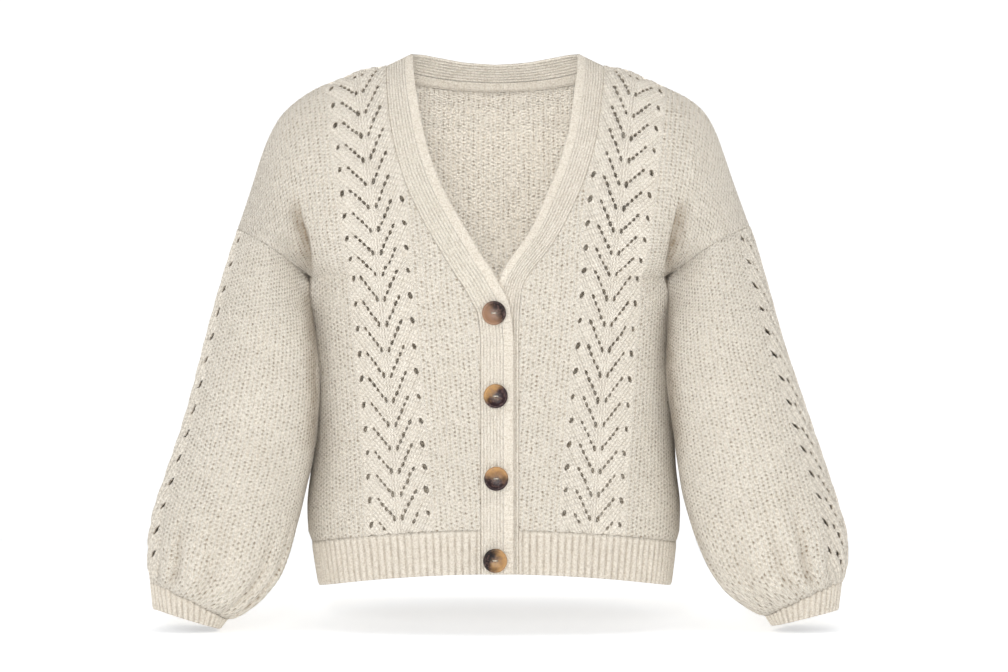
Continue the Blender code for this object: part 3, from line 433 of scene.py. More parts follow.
def neck_point(side, face, share):
    """Where a row above the underarm starts: at the band's edge or the middle of the back."""
    rise, depth = profile(share)
    low = panel_ring(side, face, UNDERARM_HEIGHT)[0]
    if face == BACK:
        y = BACK_NECK_Y + (low[1] - BACK_NECK_Y) * depth
        return np.array([0, y, low[2] + (BACK_NECK_HEIGHT - low[2]) * rise])
    height = UNDERARM_HEIGHT + (NECK_EDGE[-1].height - UNDERARM_HEIGHT) * rise
    return np.array([
        side * smooth(NECK_EDGE, side, height),
        low[1] * smooth(NECK_EDGE, "depth", height),
        height,
    ])


def creased(points):
    """Points with the crease where the body goes over into the sleeve."""
    points = points.copy()
    for side in SIDE_NAMES:
        off = points[:, 0] * side - smooth(CREASE, side, points[:, 2])
        deep = smooth(CREASE, "depth", points[:, 2]) * hill(off, CREASE_WIDTH)
        points[:, 1] -= np.sign(points[:, 1]) * np.minimum(deep, abs(points[:, 1]) / 3)
    return points


def filled(points):
    """Points with the hollow in front of each underarm's corner filled a little."""
    points = points.copy()
    x, y, z = (points[..., k] for k in range(3))
    corner = np.where(x < 0, TORSO[-1].right, TORSO[-1].left)
    (wide, deep, high), (forwards, down) = UNDERARM_FILL_SIZE, UNDERARM_FILL_AT
    near = ((abs(x) - corner) / wide) ** 2 + ((z - UNDERARM_HEIGHT + down) / high) ** 2
    points[..., 1] = y - UNDERARM_FILL * np.exp(-near - ((y + forwards) / deep) ** 2)
    return points


def fold_share(points, side):
    """How deep in the fold below the arm a point is: sharp at its line, soft outwards."""
    height = points[..., 2]
    off = points[..., 0] * side - smooth(FOLD_LINE, side, height)
    near = hill(off, np.where(off > 0, FOLD_WIDTH, FOLD_WIDTH / 4))
    near = near * (1 - 0.65 * hill(height - UNDERARM_HEIGHT, 14))
    (top, below_top), (bottom, above_bottom) = FOLD_ENDS
    near = near * (points[..., 1] < 0) * ease(height, top, below_top)
    return near * ease(height, bottom, above_bottom)


def body_row(side, face, repeat):
    """A row of the body's knitting, out from the band's edge or the middle of the back."""
    if repeat <= UNDERARM_REPEAT:
        return panel_ring(side, face, FIRST_V_HEIGHT + repeat * REPEAT)
    share = (repeat - UNDERARM_REPEAT) / (SHOULDER_REPEAT - UNDERARM_REPEAT)
    low = body_row(side, face, UNDERARM_REPEAT)
    top = shoulder_line(side)
    if face == BACK:
        top = evened(np.concatenate([back_neck_line(side), top[1:]]))
    rise, depth = profile(share)
    row = low + (top - low) * rise
    row[:, 1] = low[:, 1] * depth + top[:, 1] * (1 - depth)
    across = np.linspace(0, 1, SAMPLES)[:, None]
    arm = ring_points(side, 0, armhole_degrees(face, repeat))
    row += (1 - across) ** 2 * (neck_point(side, face, share) - row[0])
    row += across**2 * (arm - row[-1])
    return np.concatenate([row[:1], creased(row[1:-1]), row[-1:]])


def spine_distance(row):
    """How far along a row the middle of the lace is."""
    off = abs(row[:, 0]) - smooth(SPINE, "across", row[:, 2])
    k = int(np.argmax(off > 0))
    part = off[k - 1] / (off[k - 1] - off[k])
    at = lengths(row)
    return at[k - 1] + part * (at[k] - at[k - 1])


# ---------------------------------------------------------------- grids of knitting


class Grid:
    """Knitting as rows x columns of points, with how far across and up each one is. A row
    only has the columns from its first to its last."""

    def __init__(self, points, across, up, first=None, last=None):
        self.points = points
        self.across = across
        self.up = up
        rows, columns = points.shape[:2]
        self.first = np.zeros(rows, int) if first is None else first
        self.last = np.full(rows, columns - 1) if last is None else last
        self.gone = np.zeros((rows - 1, columns - 1), bool)

    def numbers(self):
        rows, columns = self.points.shape[:2]
        at = np.broadcast_to(np.arange(columns), (rows, columns))
        at = np.clip(at, self.first[:, None], self.last[:, None])
        return at + columns * np.arange(rows)[:, None]

    def faces(self, flip):
        """(quads, triangles) of the cells that are there, without the ones that shrank."""
        n = self.numbers()
        corners = np.stack([n[:-1, :-1], n[:-1, 1:], n[1:, 1:], n[1:, :-1]], axis=-1)
        corners = corners[~self.gone]
        if flip:
            corners = corners[:, ::-1]
        pairs = corners == np.roll(corners, -1, axis=1)
        quads = corners[~pairs.any(axis=1)]
        once = pairs.sum(axis=1) == 1
        kept = ~pairs[once]
        return quads, corners[once][kept].reshape(-1, 3)

    def cut(self, across, up, half_width, half_height, turn):
        """Cuts an oval eyelet out and moves the points round it on to its edge."""
        c0, c1 = np.searchsorted(self.across[0], [across - EYELET_WINDOW, across + EYELET_WINDOW])
        r0, r1 = np.searchsorted(self.up[:, 0], [up - EYELET_WINDOW - 1, up + EYELET_WINDOW + 1])
        near, far = np.searchsorted(self.across[0], [across - 3, across + 3])
        if r1 - r0 < 6 or self.first[r0:r1].max() > near - 1 or self.last[r0:r1].min() < far + 1:
            return
        window = (slice(r0, r1), slice(c0, c1))
        dx, dy = self.across[window] - across, self.up[window] - up
        run, off = turned(dx, dy, turn)
        off = np.hypot(run / half_width, off / half_height)
        middle = (off[:-1, :-1] + off[1:, :-1] + off[:-1, 1:] + off[1:, 1:]) / 4
        inside = middle < 1.02
        self.gone[r0 : r1 - 1, c0 : c1 - 1] |= inside
        padded = np.pad(inside, 1)
        touching = np.stack([padded[:-1, :-1], padded[1:, :-1], padded[:-1, 1:], padded[1:, 1:]])
        edge = touching.any(axis=0) & ~touching.all(axis=0)
        scale = np.where(edge, 1 / np.maximum(off, 0.3), 1)
        points = self.points[window]
        per_across = np.gradient(points, axis=1) / np.gradient(dx, axis=1)[..., None]
        per_up = np.gradient(points, axis=0) / np.gradient(dy, axis=0)[..., None]
        move_x, move_y = dx * (scale - 1), dy * (scale - 1)
        self.points[window] = points + per_across * move_x[..., None] + per_up * move_y[..., None]


def corner_normals(points, quads, triangles):
    flat = points.reshape(-1, 3)
    total = np.zeros_like(flat)
    for faces in (quads, triangles):
        if len(faces):
            a, b, c = (flat[faces[:, k]] for k in (0, 1, 2))
            d = flat[faces[:, -1]]
            normal = np.cross(c - a, d - b) if faces.shape[1] == 4 else np.cross(b - a, c - a)
            for k in range(faces.shape[1]):
                np.add.at(total, faces[:, k], normal)
    size = np.linalg.norm(total, axis=1, keepdims=True)
    return total / np.where(size == 0, 1, size)


def border_edges(quads, triangles):
    """Edges that only one face has, in that face's direction."""
    edges = [np.stack([f, np.roll(f, -1, axis=1)], axis=-1).reshape(-1, 2)
             for f in (quads, triangles) if len(f)]
    edges = np.concatenate(edges)
    count = int(edges.max()) + 1
    forward = edges[:, 0] * count + edges[:, 1]
    backward = edges[:, 1] * count + edges[:, 0]
    return edges[~np.isin(forward, backward)]


def placed(name, mesh, material):
    """A mesh's object, in the scene."""
    made = bpy.data.objects.new(name, mesh)
    bpy.context.scene.collection.objects.link(made)
    mesh.materials.append(material)
    return made


def mesh_object(name, vertices, quads, triangles, attributes, material):
    """An object from arrays in mm; its attributes have a vector for each vertex."""
    used = np.unique(np.concatenate([quads.ravel(), triangles.ravel()]))
    renumber = np.zeros(len(vertices), int)
    renumber[used] = np.arange(len(used))
    faces = [*renumber[quads].tolist(), *renumber[triangles].tolist()]
    mesh = bpy.data.meshes.new(name)
    mesh.from_pydata((vertices[used] * MM).tolist(), [], faces)
    for key, values in attributes.items():
        layer = mesh.attributes.new(key, "FLOAT_VECTOR", "POINT")
        layer.data.foreach_set("vector", values[used].astype(np.float32).ravel())
    mesh.shade_smooth()
    return placed(name, mesh, material)


def shell(name, grid, relief, attributes, outwards, material):
    """One skin of knitting with its relief, facing outwards, whose cut edges turn in."""
    for flip in (False, True):
        quads, triangles = grid.faces(flip)
        normals = corner_normals(grid.points, quads, triangles)
        if (normals.reshape(grid.points.shape) * outwards).sum() >= 0:
            break
    flat = grid.points.reshape(-1, 3) + normals * relief.reshape(-1, 1)
    edges = border_edges(quads, triangles)
    ends, where = np.unique(edges, return_inverse=True)
    where = where.reshape(edges.shape) + len(flat)
    deep = flat[ends] - normals[ends] * WALL
    rims = np.stack([edges[:, 1], edges[:, 0], where[:, 0], where[:, 1]], axis=1)
    values = {key: value.reshape(-1, 3) for key, value in attributes.items()}
    values = {key: np.concatenate([value, value[ends]]) for key, value in values.items()}
    row, column = np.divmod(ends, grid.points.shape[1])
    on_seam = (column <= grid.first[row]) | (column >= grid.last[row])
    on_seam |= (row == 0) | (row == len(grid.first) - 1)
    # The far side of each turned-in wall gets painted shade.
    values["knit"][len(flat):, 2] = np.where(on_seam, SEAM_PAINTED_SHADE, DEEP_PAINTED_SHADE)
    return mesh_object(name, np.concatenate([flat, deep]), np.concatenate([quads, rims]),
                       triangles, values, material)


# ---------------------------------------------------------------- relief


def unevenness(across, up, seed):
    """Soft, large waves that keep the cloth from looking machined, about a mm each way."""
    waves = np.random.default_rng(seed).uniform(0, TURN, 6)
    total = 0.5 * np.sin(across / 31 + up / 83 + waves[0]) + 0.5 * np.sin(up / 47 + waves[1])
    total += 0.35 * np.sin(across / 17 - up / 59 + waves[2])
    return total + 0.3 * np.sin(across / 23 + up / 29 + waves[3])


def chevron(across, up):
    """How far up the lace a point is in repeats, counted along the slanting arms of its Vs."""
    climb = np.where(across < 0, ARM_RISE[-1], ARM_RISE[1])
    return (up - climb * np.maximum(abs(across) - TIP, 0)) / REPEAT


def lace_relief(across, up):
    """Plump arms between the lines of eyelets, finely ridged, and upright ribs on the spine."""
    phase = chevron(across, up)
    arms = -np.cos(TURN * phase) * ARM_RELIEF - np.cos(TURN * RIDGES * phase) * RIDGE_RELIEF
    ribs = np.cos(TURN * across / SPINE_RIB) * 0.32
    near_spine = hill(across, 4.0)
    edge = 0.5 * hill(abs(across) - LACE_HALF + 1.2, 1.6)
    valley = 0.45 * hill(((phase + 0.5) % 1 - 0.5) * REPEAT, 1.8)
    return arms * (1 - near_spine) + ribs * near_spine + edge - valley


def lace_share(across):
    """1 in the lace and 0 in the plain knitting beside it."""
    return 1 - ease(abs(across), LACE_HALF - 2, LACE_HALF + 1)


def stitch_relief(across, up):
    """Columns of loops, every other one half a course up."""
    stagger = 0.5 * (np.round(across / WALE) % 2)
    loops = 0.25 + 0.75 * np.cos(TURN * (up / COURSE + stagger))
    return STITCH_RELIEF * loops * np.cos(TURN * across / WALE)


def knit_relief(across, up, share):
    """The relief where a share of the knitting is lace and the rest is plain."""
    return share * lace_relief(across, up) + (1 - share) * stitch_relief(across, up)


def knit_fields(across, up, share, painted_shade):
    """The attributes that the knit's material reads; the knit field's third part is the painted
    shade.
    """
    zero = 0 * across
    knit = np.stack([across / WALE + zero, up / COURSE + zero, painted_shade + zero], axis=-1)
    ridge, rib = RIDGES * chevron(across, up), across / SPINE_RIB
    return {"knit": knit, "lace": np.stack([ridge, rib + zero, share + zero], axis=-1)}


def seam_shade(*distances):
    """The painted shade on the knitting beside its seams."""
    return sum(0.05 * hill(np.maximum(distance, 0), 2.0) for distance in distances)


def seam_valley(distance):
    """The dip of a seam and the soft welt beside it."""
    distance = np.maximum(distance, 0)
    return 0.2 * hill(distance - 4, 2) - 0.15 * hill(distance, 1.8)


def underarm_bulge(distance, round_distance):
    """The cloth pressed together at the underarm's corner, from the distances both ways."""
    return UNDERARM_BULGE * np.exp(-((distance / UNDERARM_BULGE_REACH) ** 2)
                                   - (round_distance / UNDERARM_BULGE_REACH) ** 2)


def off_seams(*distances, reach=22.0):
    """0 on a seam and 1 from the reach on, so that two pieces meet at the same height."""
    return ease(np.minimum.reduce(np.broadcast_arrays(*distances)), 0, reach)


# ---------------------------------------------------------------- materials


class Wire:
    """A number inside a material, to reckon with."""

    def __init__(self, nodes, socket):
        self.nodes, self.socket = nodes, socket

    def __add__(self, other):
        return self.nodes.math("ADD", self, other)

    def __sub__(self, other):
        return self.nodes.math("SUBTRACT", self, other)

    def __rsub__(self, other):
        return self.nodes.math("SUBTRACT", other, self)

    def __mul__(self, other):
        return self.nodes.math("MULTIPLY", self, other)

    def __truediv__(self, other):
        return self.nodes.math("DIVIDE", self, other)

    def __abs__(self):
        return self.nodes.math("ABSOLUTE", self)

    def floor(self):
        return self.nodes.math("FLOOR", self)

    def from_middle(self):
        """How far the part after the point is from a half, as a signed number."""
        return self.nodes.math("FRACT", self) - 0.5


class Nodes:
    """Adds the nodes of a material or of the world; values are numbers, wires or sockets."""

    def __init__(self, owner):
        owner.use_nodes = True
        self.owner, self.tree = owner, owner.node_tree

    def put(self, socket, value):
        value = value.socket if isinstance(value, Wire) else value
        if isinstance(value, bpy.types.NodeSocket):
            self.tree.links.new(value, socket)
        else:
            socket.default_value = value

    def node(self, kind, *values, **settings):
        node = self.tree.nodes.new(kind)
        for key, value in settings.items():
            setattr(node, key, value)
        for socket, value in zip(node.inputs, values):
            self.put(socket, value)
        return node

    def math(self, operation, *values):
        node = self.node("ShaderNodeMath", *values, operation=operation)
        return Wire(self, node.outputs[0])

    def vector(self, operation, first, second):
        return self.node("ShaderNodeVectorMath", first, second, operation=operation).outputs[0]

    def parts(self, vector):
        return [Wire(self, part) for part in self.node("ShaderNodeSeparateXYZ", vector).outputs]

    def field(self, name):
        """A vector attribute's three parts."""
        attribute = self.node("ShaderNodeAttribute", attribute_name=name)
        return self.parts(attribute.outputs["Vector"])

    def place(self, name="Object"):
        return self.node("ShaderNodeTexCoord").outputs[name]

    def map(self, value, low, high, to_low=0.0, to_high=1.0):
        """Rises smoothly from to_low to to_high as the value goes from low to high."""
        node = self.node("ShaderNodeMapRange", value, low, high, to_low, to_high,
                         interpolation_type="SMOOTHSTEP")
        return Wire(self, node.outputs[0])

    def noise(self, scale, detail, stretch=(1, 1, 1), offset=(0, 0, 0)):
        node = self.node("ShaderNodeTexNoise")
        place = self.vector("ADD", self.vector("MULTIPLY", self.place(), stretch), offset)
        for key, value in (("Vector", place), ("Scale", scale), ("Detail", detail),
                           ("Roughness", 0.55)):
            self.put(node.inputs[key], value)
        return Wire(self, node.outputs[0])

    def mix(self, share, first, second):
        node = self.node("ShaderNodeMix", data_type="RGBA")
        for number, value in ((0, share), (6, first), (7, second)):
            self.put(node.inputs[number], value)
        return node.outputs[2]

    def bump(self, height, distance):
        node = self.node("ShaderNodeBump")
        for key, value in (("Strength", 1.0), ("Distance", distance), ("Height", height)):
            self.put(node.inputs[key], value)
        return node.outputs[0]

    def finish(self, **values):
        for key, value in values.items():
            self.put(self.tree.nodes["Principled BSDF"].inputs[key.replace("_", " ")], value)
        return self.owner


CREAM = (0.90, 0.834, 0.725, 1)
# The colour of the painted highlight on the loops' crests.
CREAM_LIGHT = (1.0, 0.955, 0.87, 1)
CREAM_SHADE = (0.56, 0.47, 0.35, 1)
RIB_TONE = (0.60, 0.54, 0.46, 1)
# The brown of the painted shade in hollows, eyelets, seams, folds and furrows.
PAINTED_SHADE_BROWN = (0.33, 0.25, 0.165, 1)
BUMP_DEPTH = 0.0013  # metres


def near_middle(across, up, half_width, half_height):
    """The square of how far off an oval's middle a point is; 1 on the oval."""
    across, up = across / half_width, up / half_height
    return across * across + up * up


def wool_material(name, plain_stitches, tone=0.0, furrow_shade=0.2, gap_shade=0.04):
    """Cream wool with painted shade and painted highlights. The knit field counts wales and
    courses and carries the painted shade, the lace field counts ridges.
    """
    n = Nodes(bpy.data.materials.new(name))
    wale, course, painted_shade = n.field("knit")
    ridge, rib, lace = n.field("lace")
    speck, blotch = n.noise(620, 2), n.noise(26, 2)
    slub = n.noise(150, 3, (1, 1, 0.5))
    shift = n.noise(190, 2) * 0.8 - 0.4
    lift = n.noise(170, 2, (1, 1.3, 0.8)) * 0.9 - 0.45

    height = speck * 1.3 + n.noise(1100, 3) * 0.6
    # The painted shade: what the mesh carries, and below, the hollows, gaps, grooves and furrows.
    dark = painted_shade * 0.55
    if plain_stitches:
        # Plain knitting: columns of loops with small staggered hollows between them. The hollows
        # and the gaps between loops get painted shade, each loop's crest (the bead) a painted
        # highlight.
        wale, course = wale + shift, course + lift
        column = wale.floor()
        course = course + n.math("FLOORED_MODULO", column, 2.0) * 0.5
        across, up = wale.from_middle(), course.from_middle()
        cell = n.node("ShaderNodeCombineXYZ", column, course.floor()).outputs[0]
        chance = n.node("ShaderNodeTexWhiteNoise", cell, noise_dimensions="2D").outputs[0]
        plain = 1.0 - lace
        hollow = n.map(near_middle(across, up, 0.175, 0.235), 1.7, 0.2) * plain
        hollow = hollow * n.map(chance, 0.0, 1.0, 0.25, 1.0)
        crest = near_middle(0.5 - abs(across), 0.5 - abs(up), 0.22, 0.26)
        bead = n.map(crest, 1.8, 0.0) * n.map(speck, 0.38, 0.58, 0.1, 1.0) * plain
        slope = course - abs(across) * 1.5
        gap = n.map(abs(slope.from_middle()), 0.34, 0.47) * plain
        height = height - hollow * 1.1 - gap * 0.5 + bead * 0.7
        dark = dark + hollow * 0.8 + gap * 0.2

        # Lace: strands that follow the plump arms, each a row of slanting stitches, with painted
        # shade in the grooves and between the stitches.
        slant, upright = abs(ridge.from_middle()), abs(rib.from_middle())
        at_spine = n.map(abs(rib), 1.75, 1.15)
        groove = n.map(slant, 0.24, 0.5) * (1.0 - at_spine)
        groove = groove + n.map(upright, 0.3, 0.12) * at_spine
        groove = groove * lace * n.map(slub, 0.35, 0.6, 0.35, 1.0)
        stitch = abs((rib * 1.1 + slant * 1.6 + shift).from_middle())
        stitch = n.map(stitch, 0.3, 0.48) * lace
        height = height - groove * 0.5 - stitch * 0.5
        dark = dark + groove * 0.14 + stitch * 0.14
        # Painted highlight on each loop's crest, and the lace a little lighter all over.
        light = lace * 0.15 + bead * 0.9
    else:
        # Ribbing: furrows between the ribs, and the loops of each rib, with painted shade in
        # both.
        off = abs(wale.from_middle())
        furrow = n.map(off, 0.2, 0.03) * n.map(slub, 0.35, 0.62, 0.45, 1.0)
        gap = n.map(abs((off * 1.3 + course + lift).from_middle()), 0.36, 0.48)
        height = height - furrow * 0.7 - gap * 0.3
        dark = dark + furrow * furrow_shade + gap * gap_shade
        light = 0.0

    dark = n.math("MINIMUM", dark * n.map(slub, 0.3, 0.7, 0.75, 1.2), 1.0)
    colour = n.mix(n.map(speck, 0.44, 0.62, 0.0, 0.5), CREAM, CREAM_SHADE)
    colour = n.mix(n.map(blotch, 0.35, 0.75, 0.0, 0.08), colour, CREAM_SHADE)
    colour = n.mix(tone, colour, RIB_TONE)
    # The painted highlight, then the painted shade in its brown.
    colour = n.mix(light, colour, CREAM_LIGHT)
    colour = n.mix(dark, colour, PAINTED_SHADE_BROWN)
    return n.finish(Base_Color=colour, Roughness=0.95, Normal=n.bump(height, BUMP_DEPTH),
                    Sheen_Weight=0.2, Sheen_Roughness=0.55, Specular_IOR_Level=0.12)


BUTTON_RADIUS = 12.6
HORN_GRAIN = (0.24, 0.14, 0.12, 1)
HORNS = table(
    "light dark turn shift seed",
    ((0.30, 0.17, 0.10, 1), (0.012, 0.006, 0.005, 1), 215, 0.05, 1.3),
    ((0.46, 0.26, 0.10, 1), (0.022, 0.009, 0.011, 1), 142, -0.3, 4.1),
    ((0.45, 0.25, 0.10, 1), (0.020, 0.009, 0.010, 1), 85, -0.15, 7.9),
    ((0.44, 0.25, 0.10, 1), (0.010, 0.006, 0.006, 1), -8, 0.0, 11.2),
)


def horn_material(number, middle):
    """Tortoiseshell: a light and a dark side with soft clouds where they meet."""
    kind = HORNS[number]
    n = Nodes(bpy.data.materials.new(f"horn_{number + 1}"))
    middle = middle * MM
    x, _, z = n.parts(n.vector("SUBTRACT", n.place(), middle))
    turn = math.radians(kind.turn)
    reach = BUTTON_RADIUS * MM
    side = x * (math.cos(turn) / reach) + z * (math.sin(turn) / reach)
    cloud = n.noise(95, 3, offset=kind.seed - middle)
    grain = n.noise(420, 2, offset=kind.seed - middle)
    share = n.map(side + (cloud - 0.5) * 1.9 + kind.shift, -0.55, 0.65)
    colour = n.mix(share, kind.dark, kind.light)
    colour = n.mix(n.map(grain, 0.45, 0.75, 0, 0.4), colour, HORN_GRAIN)
    return n.finish(Base_Color=colour, Roughness=0.35, Coat_Weight=0.06, Coat_Roughness=0.15,
                    Specular_IOR_Level=0.18)


# ---------------------------------------------------------------- fronts and back


def row_repeats(step):
    """Where rows of points lie on the body, in repeats, about a step apart."""
    height = (SHOULDER_REPEAT - HEM_SEAM_REPEAT) * REPEAT
    return np.linspace(HEM_SEAM_REPEAT, SHOULDER_REPEAT, round(height / step))


def front_grid(side):
    """A front with its wales parallel to the lace, and each point's distances from the band
    and from the side."""
    offsets = np.concatenate([
        -LACE_HALF - PLAIN_STEP * np.arange(INNER_COLUMNS, 0, -1),
        np.linspace(-LACE_HALF, LACE_HALF, round(2 * LACE_HALF / LACE_STEP) + 1),
        LACE_HALF + PLAIN_STEP * np.arange(1, OUTER_COLUMNS + 1),
    ])
    repeats = row_repeats(ROW_STEP)
    points, first, last, ends = [], [], [], []
    for repeat in repeats:
        row = body_row(side, FRONT, repeat)
        spine, end = spine_distance(row), lengths(row)[-1]
        at = np.clip(spine + offsets, 0, end)
        near = int(abs(spine + offsets).argmin())
        far = int(abs(spine + offsets - end).argmin())
        at[near], at[far] = 0, end
        points.append(along(row, at))
        first.append(near)
        last.append(far)
        ends.append((spine, end))
    shape = (len(repeats), len(offsets))
    across = np.broadcast_to(offsets, shape).copy()
    up = np.broadcast_to(repeats[:, None] * REPEAT, shape).copy()
    grid = Grid(np.array(points), across, up, np.array(first), np.array(last))
    spine, end = np.array(ends).T[..., None]
    return grid, across + spine, end - spine - across


def cut_lace(grid, tips, eyelets, seed, lowest, highest):
    """The eyelets of a panel of lace, a little uneven; tips are its Vs' heights."""
    shake = np.random.default_rng(seed)
    for tip in tips:
        for eyelet in eyelets:
            dx, dy, grow, turn = shake.normal(0, [0.25, 0.3, 0.09, 5])
            height = tip + eyelet.up
            if not lowest < height < highest:
                continue
            grow = 1 + float(np.clip(grow, -0.2, 0.25))
            grid.cut(eyelet.across + dx, height + dy, eyelet.half_width * grow,
                     eyelet.half_height * grow, eyelet.turn + turn)


def pressed(points, side, folds, share):
    """Points with soft folds: (x, z, turn, length, width, depth) seen from the front."""
    points = points.copy()
    for x, z, turn, length, width, depth in folds:
        run, off = turned(points[..., 0] * side - x, points[..., 2] - z, turn)
        near = np.exp(-((run / length) ** 2) * 2 - (off / width) ** 2)
        points[..., 1] += share * depth * near * (points[..., 1] < 20)
    return points


FRONT_FOLDS = {
    RIGHT: [
        (180, -175, 62, 55, 11, 2.6),
        (120, -300, 80, 90, 16, 1.6),
        (60, -420, 84, 100, 14, 1.3),
        (150, -440, 98, 90, 15, 1.8),
        (165, -500, 95, 30, 7, 2.2),
        (125, -503, 88, 26, 7, 2.0),
        (85, -500, 92, 26, 6, 2.0),
        (45, -500, 90, 24, 6, 1.6),
    ],
    LEFT: [
        (176, -180, 118, 55, 11, 2.6),
        (128, -310, 98, 90, 16, 1.6),
        (70, -400, 95, 100, 14, 1.3),
        (155, -430, 80, 90, 15, 1.8),
        (160, -500, 86, 30, 7, 2.2),
        (118, -502, 92, 26, 7, 2.0),
        (80, -500, 88, 26, 6, 2.0),
        (48, -500, 90, 24, 6, 1.6),
    ],
}


# How strong the painted shade in the fold below the arm is on the fronts.
FOLD_SHADE = 1.35


def front(side, material):
    grid, from_band, from_side = front_grid(side)
    tips = np.arange(-1, BODY_VS) * REPEAT
    bottom, top = grid.up[0, 0], grid.up[-1, 0]
    inner = off_seams(from_side, from_band, top - grid.up, grid.up - bottom + 8)
    grid.points = filled(pressed(grid.points, side, FRONT_FOLDS[side], inner))
    cut_lace(grid, tips, FRONT_LACE, 20 + side, bottom + 5, top - 6)
    share = lace_share(grid.across)
    relief = knit_relief(grid.across, grid.up, share)
    relief += unevenness(grid.across, grid.up, 5 + side) * inner
    edges = (from_band, from_side, grid.up - bottom, top - grid.up)
    relief += sum(seam_valley(edge) for edge in edges)
    # Painted shade beside the seams and in the fold below the arm.
    painted_shade = seam_shade(*edges)
    shade = fold_share(grid.points, side) * ease(grid.points[..., 2], -245, -225)
    painted_shade += FOLD_SHADE * shade
    relief -= FOLD_DEPTH * shade * ease(from_side, 0, 14)
    relief += underarm_bulge(np.maximum(from_side, 0), grid.up - UNDERARM_REPEAT * REPEAT)
    fields = knit_fields(grid.across, grid.up, share, painted_shade)
    return shell(f"front_{SIDE_NAMES[side]}_knit", grid, relief, fields, (0, -1.0, 0.2),
                 material)


def relaxed(points, free):
    """Points evened out along their rows, as far as each is free to move."""
    points = points.copy()
    for _ in range(RELAXING):
        step = points[:, 2:] - 2 * points[:, 1:-1] + points[:, :-2]
        points[:, 1:-1] += 0.25 * free[:, 1:-1, None] * step
    return points


def back(material):
    repeats = row_repeats(BACK_STEP)
    shares = np.linspace(0, 1, BACK_COLUMNS)
    halves = {}
    for side in (RIGHT, LEFT):
        rows = [body_row(side, BACK, repeat) for repeat in repeats]
        span = np.array([lengths(row)[-1] for row in rows])[:, None]
        points = np.array([along(row, shares * lengths(row)[-1]) for row in rows])
        halves[side] = points, shares * span, span
    points = np.concatenate([halves[RIGHT][0][:, :0:-1], halves[LEFT][0]], axis=1)
    across = np.concatenate([-halves[RIGHT][1][:, :0:-1], halves[LEFT][1]], axis=1)
    up = np.broadcast_to(repeats[:, None] * REPEAT, across.shape).copy()
    span = np.where(across < 0, halves[RIGHT][2], halves[LEFT][2])
    bottom, top = up[0, 0], up[-1, 0]
    edges = (span - abs(across), up - bottom, top - up)
    free = off_seams(edges[0], edges[2]) * ease(up, UNDERARM_REPEAT * REPEAT, top - 60)
    grid = Grid(filled(relaxed(points, free)), across, up)
    relief = stitch_relief(across, up) + 1.2 * unevenness(across, up, 31) * off_seams(*edges)
    relief += sum(seam_valley(edge) for edge in edges)
    relief += underarm_bulge(edges[0], up - UNDERARM_REPEAT * REPEAT)
    # Painted shade beside the seams.
    painted_shade = seam_shade(*edges)
    fields = knit_fields(across, up, 0 * across, painted_shade)
    return shell("back_knit", grid, relief, fields, (0, 1.0, 0.2), material)


# ---------------------------------------------------------------- sleeves

MM_PER_DEGREE = LACE_HALF / SLEEVE_LACE_HALF
SLEEVE_WALES = 84
SLEEVE_FOLD = "distance degrees slope width depth reach"
SLEEVE_FOLDS = {
    RIGHT: table(
        SLEEVE_FOLD,
        (45, 60, 0.25, 12, 2.5, 60),
        (120, 75, -0.18, 15, 2.2, 70),
        (205, 95, 0.15, 17, 2.0, 80),
        (285, 70, -0.2, 15, 2.2, 70),
        (150, 270, 0.2, 17, 2.4, 80),
        (260, 290, -0.2, 17, 2.4, 80),
    ),
    LEFT: table(
        SLEEVE_FOLD,
        (24, 30, 1.0, 2.8, 1.5, 15),
        (37, 28, 1.1, 2.8, 1.4, 15),
        (51, 25, 1.2, 3.0, 1.2, 15),
        (50, 62, 0.22, 12, 2.5, 60),
        (135, 80, -0.2, 15, 2.2, 70),
        (215, 90, 0.18, 17, 2.0, 80),
        (295, 75, -0.15, 15, 2.2, 70),
        (160, 275, 0.2, 17, 2.4, 80),
        (270, 285, -0.2, 17, 2.4, 80),
    ),
}
GATHERS = 11
GATHER_DEPTH = 6.0
ROLL = 1.2  # how far the sleeve rolls over its cuff


def sleeve_folds(side, distance, degrees):
    """Soft creases across the sleeve."""
    total = 0 * distance
    for fold in SLEEVE_FOLDS[side]:
        turn = (degrees - fold.degrees + 180) % 360 - 180
        off = (distance - fold.distance - fold.slope * turn) / fold.width
        total -= fold.depth * np.exp(-(off**2) - (turn / fold.reach) ** 2 * 2)
    return total


def gathers(side, distance, degrees):
    """How deep the furrows between the gathers above the cuff are, from 0 to 1."""
    end = SLEEVES[side][-1].along
    wander = 9 * np.sin(np.radians(degrees) * 3 + side) + 0.05 * (distance - end)
    gather = (0.5 - 0.5 * np.cos(np.radians(degrees + wander) * GATHERS)) ** 2.2
    strong = ease(distance, end - 95, end - 22) * (0.75 + 0.4 * np.sin(np.radians(degrees) * 4))
    return strong * gather * (1 - 0.8 * ease(distance, end - 14, end - 2))


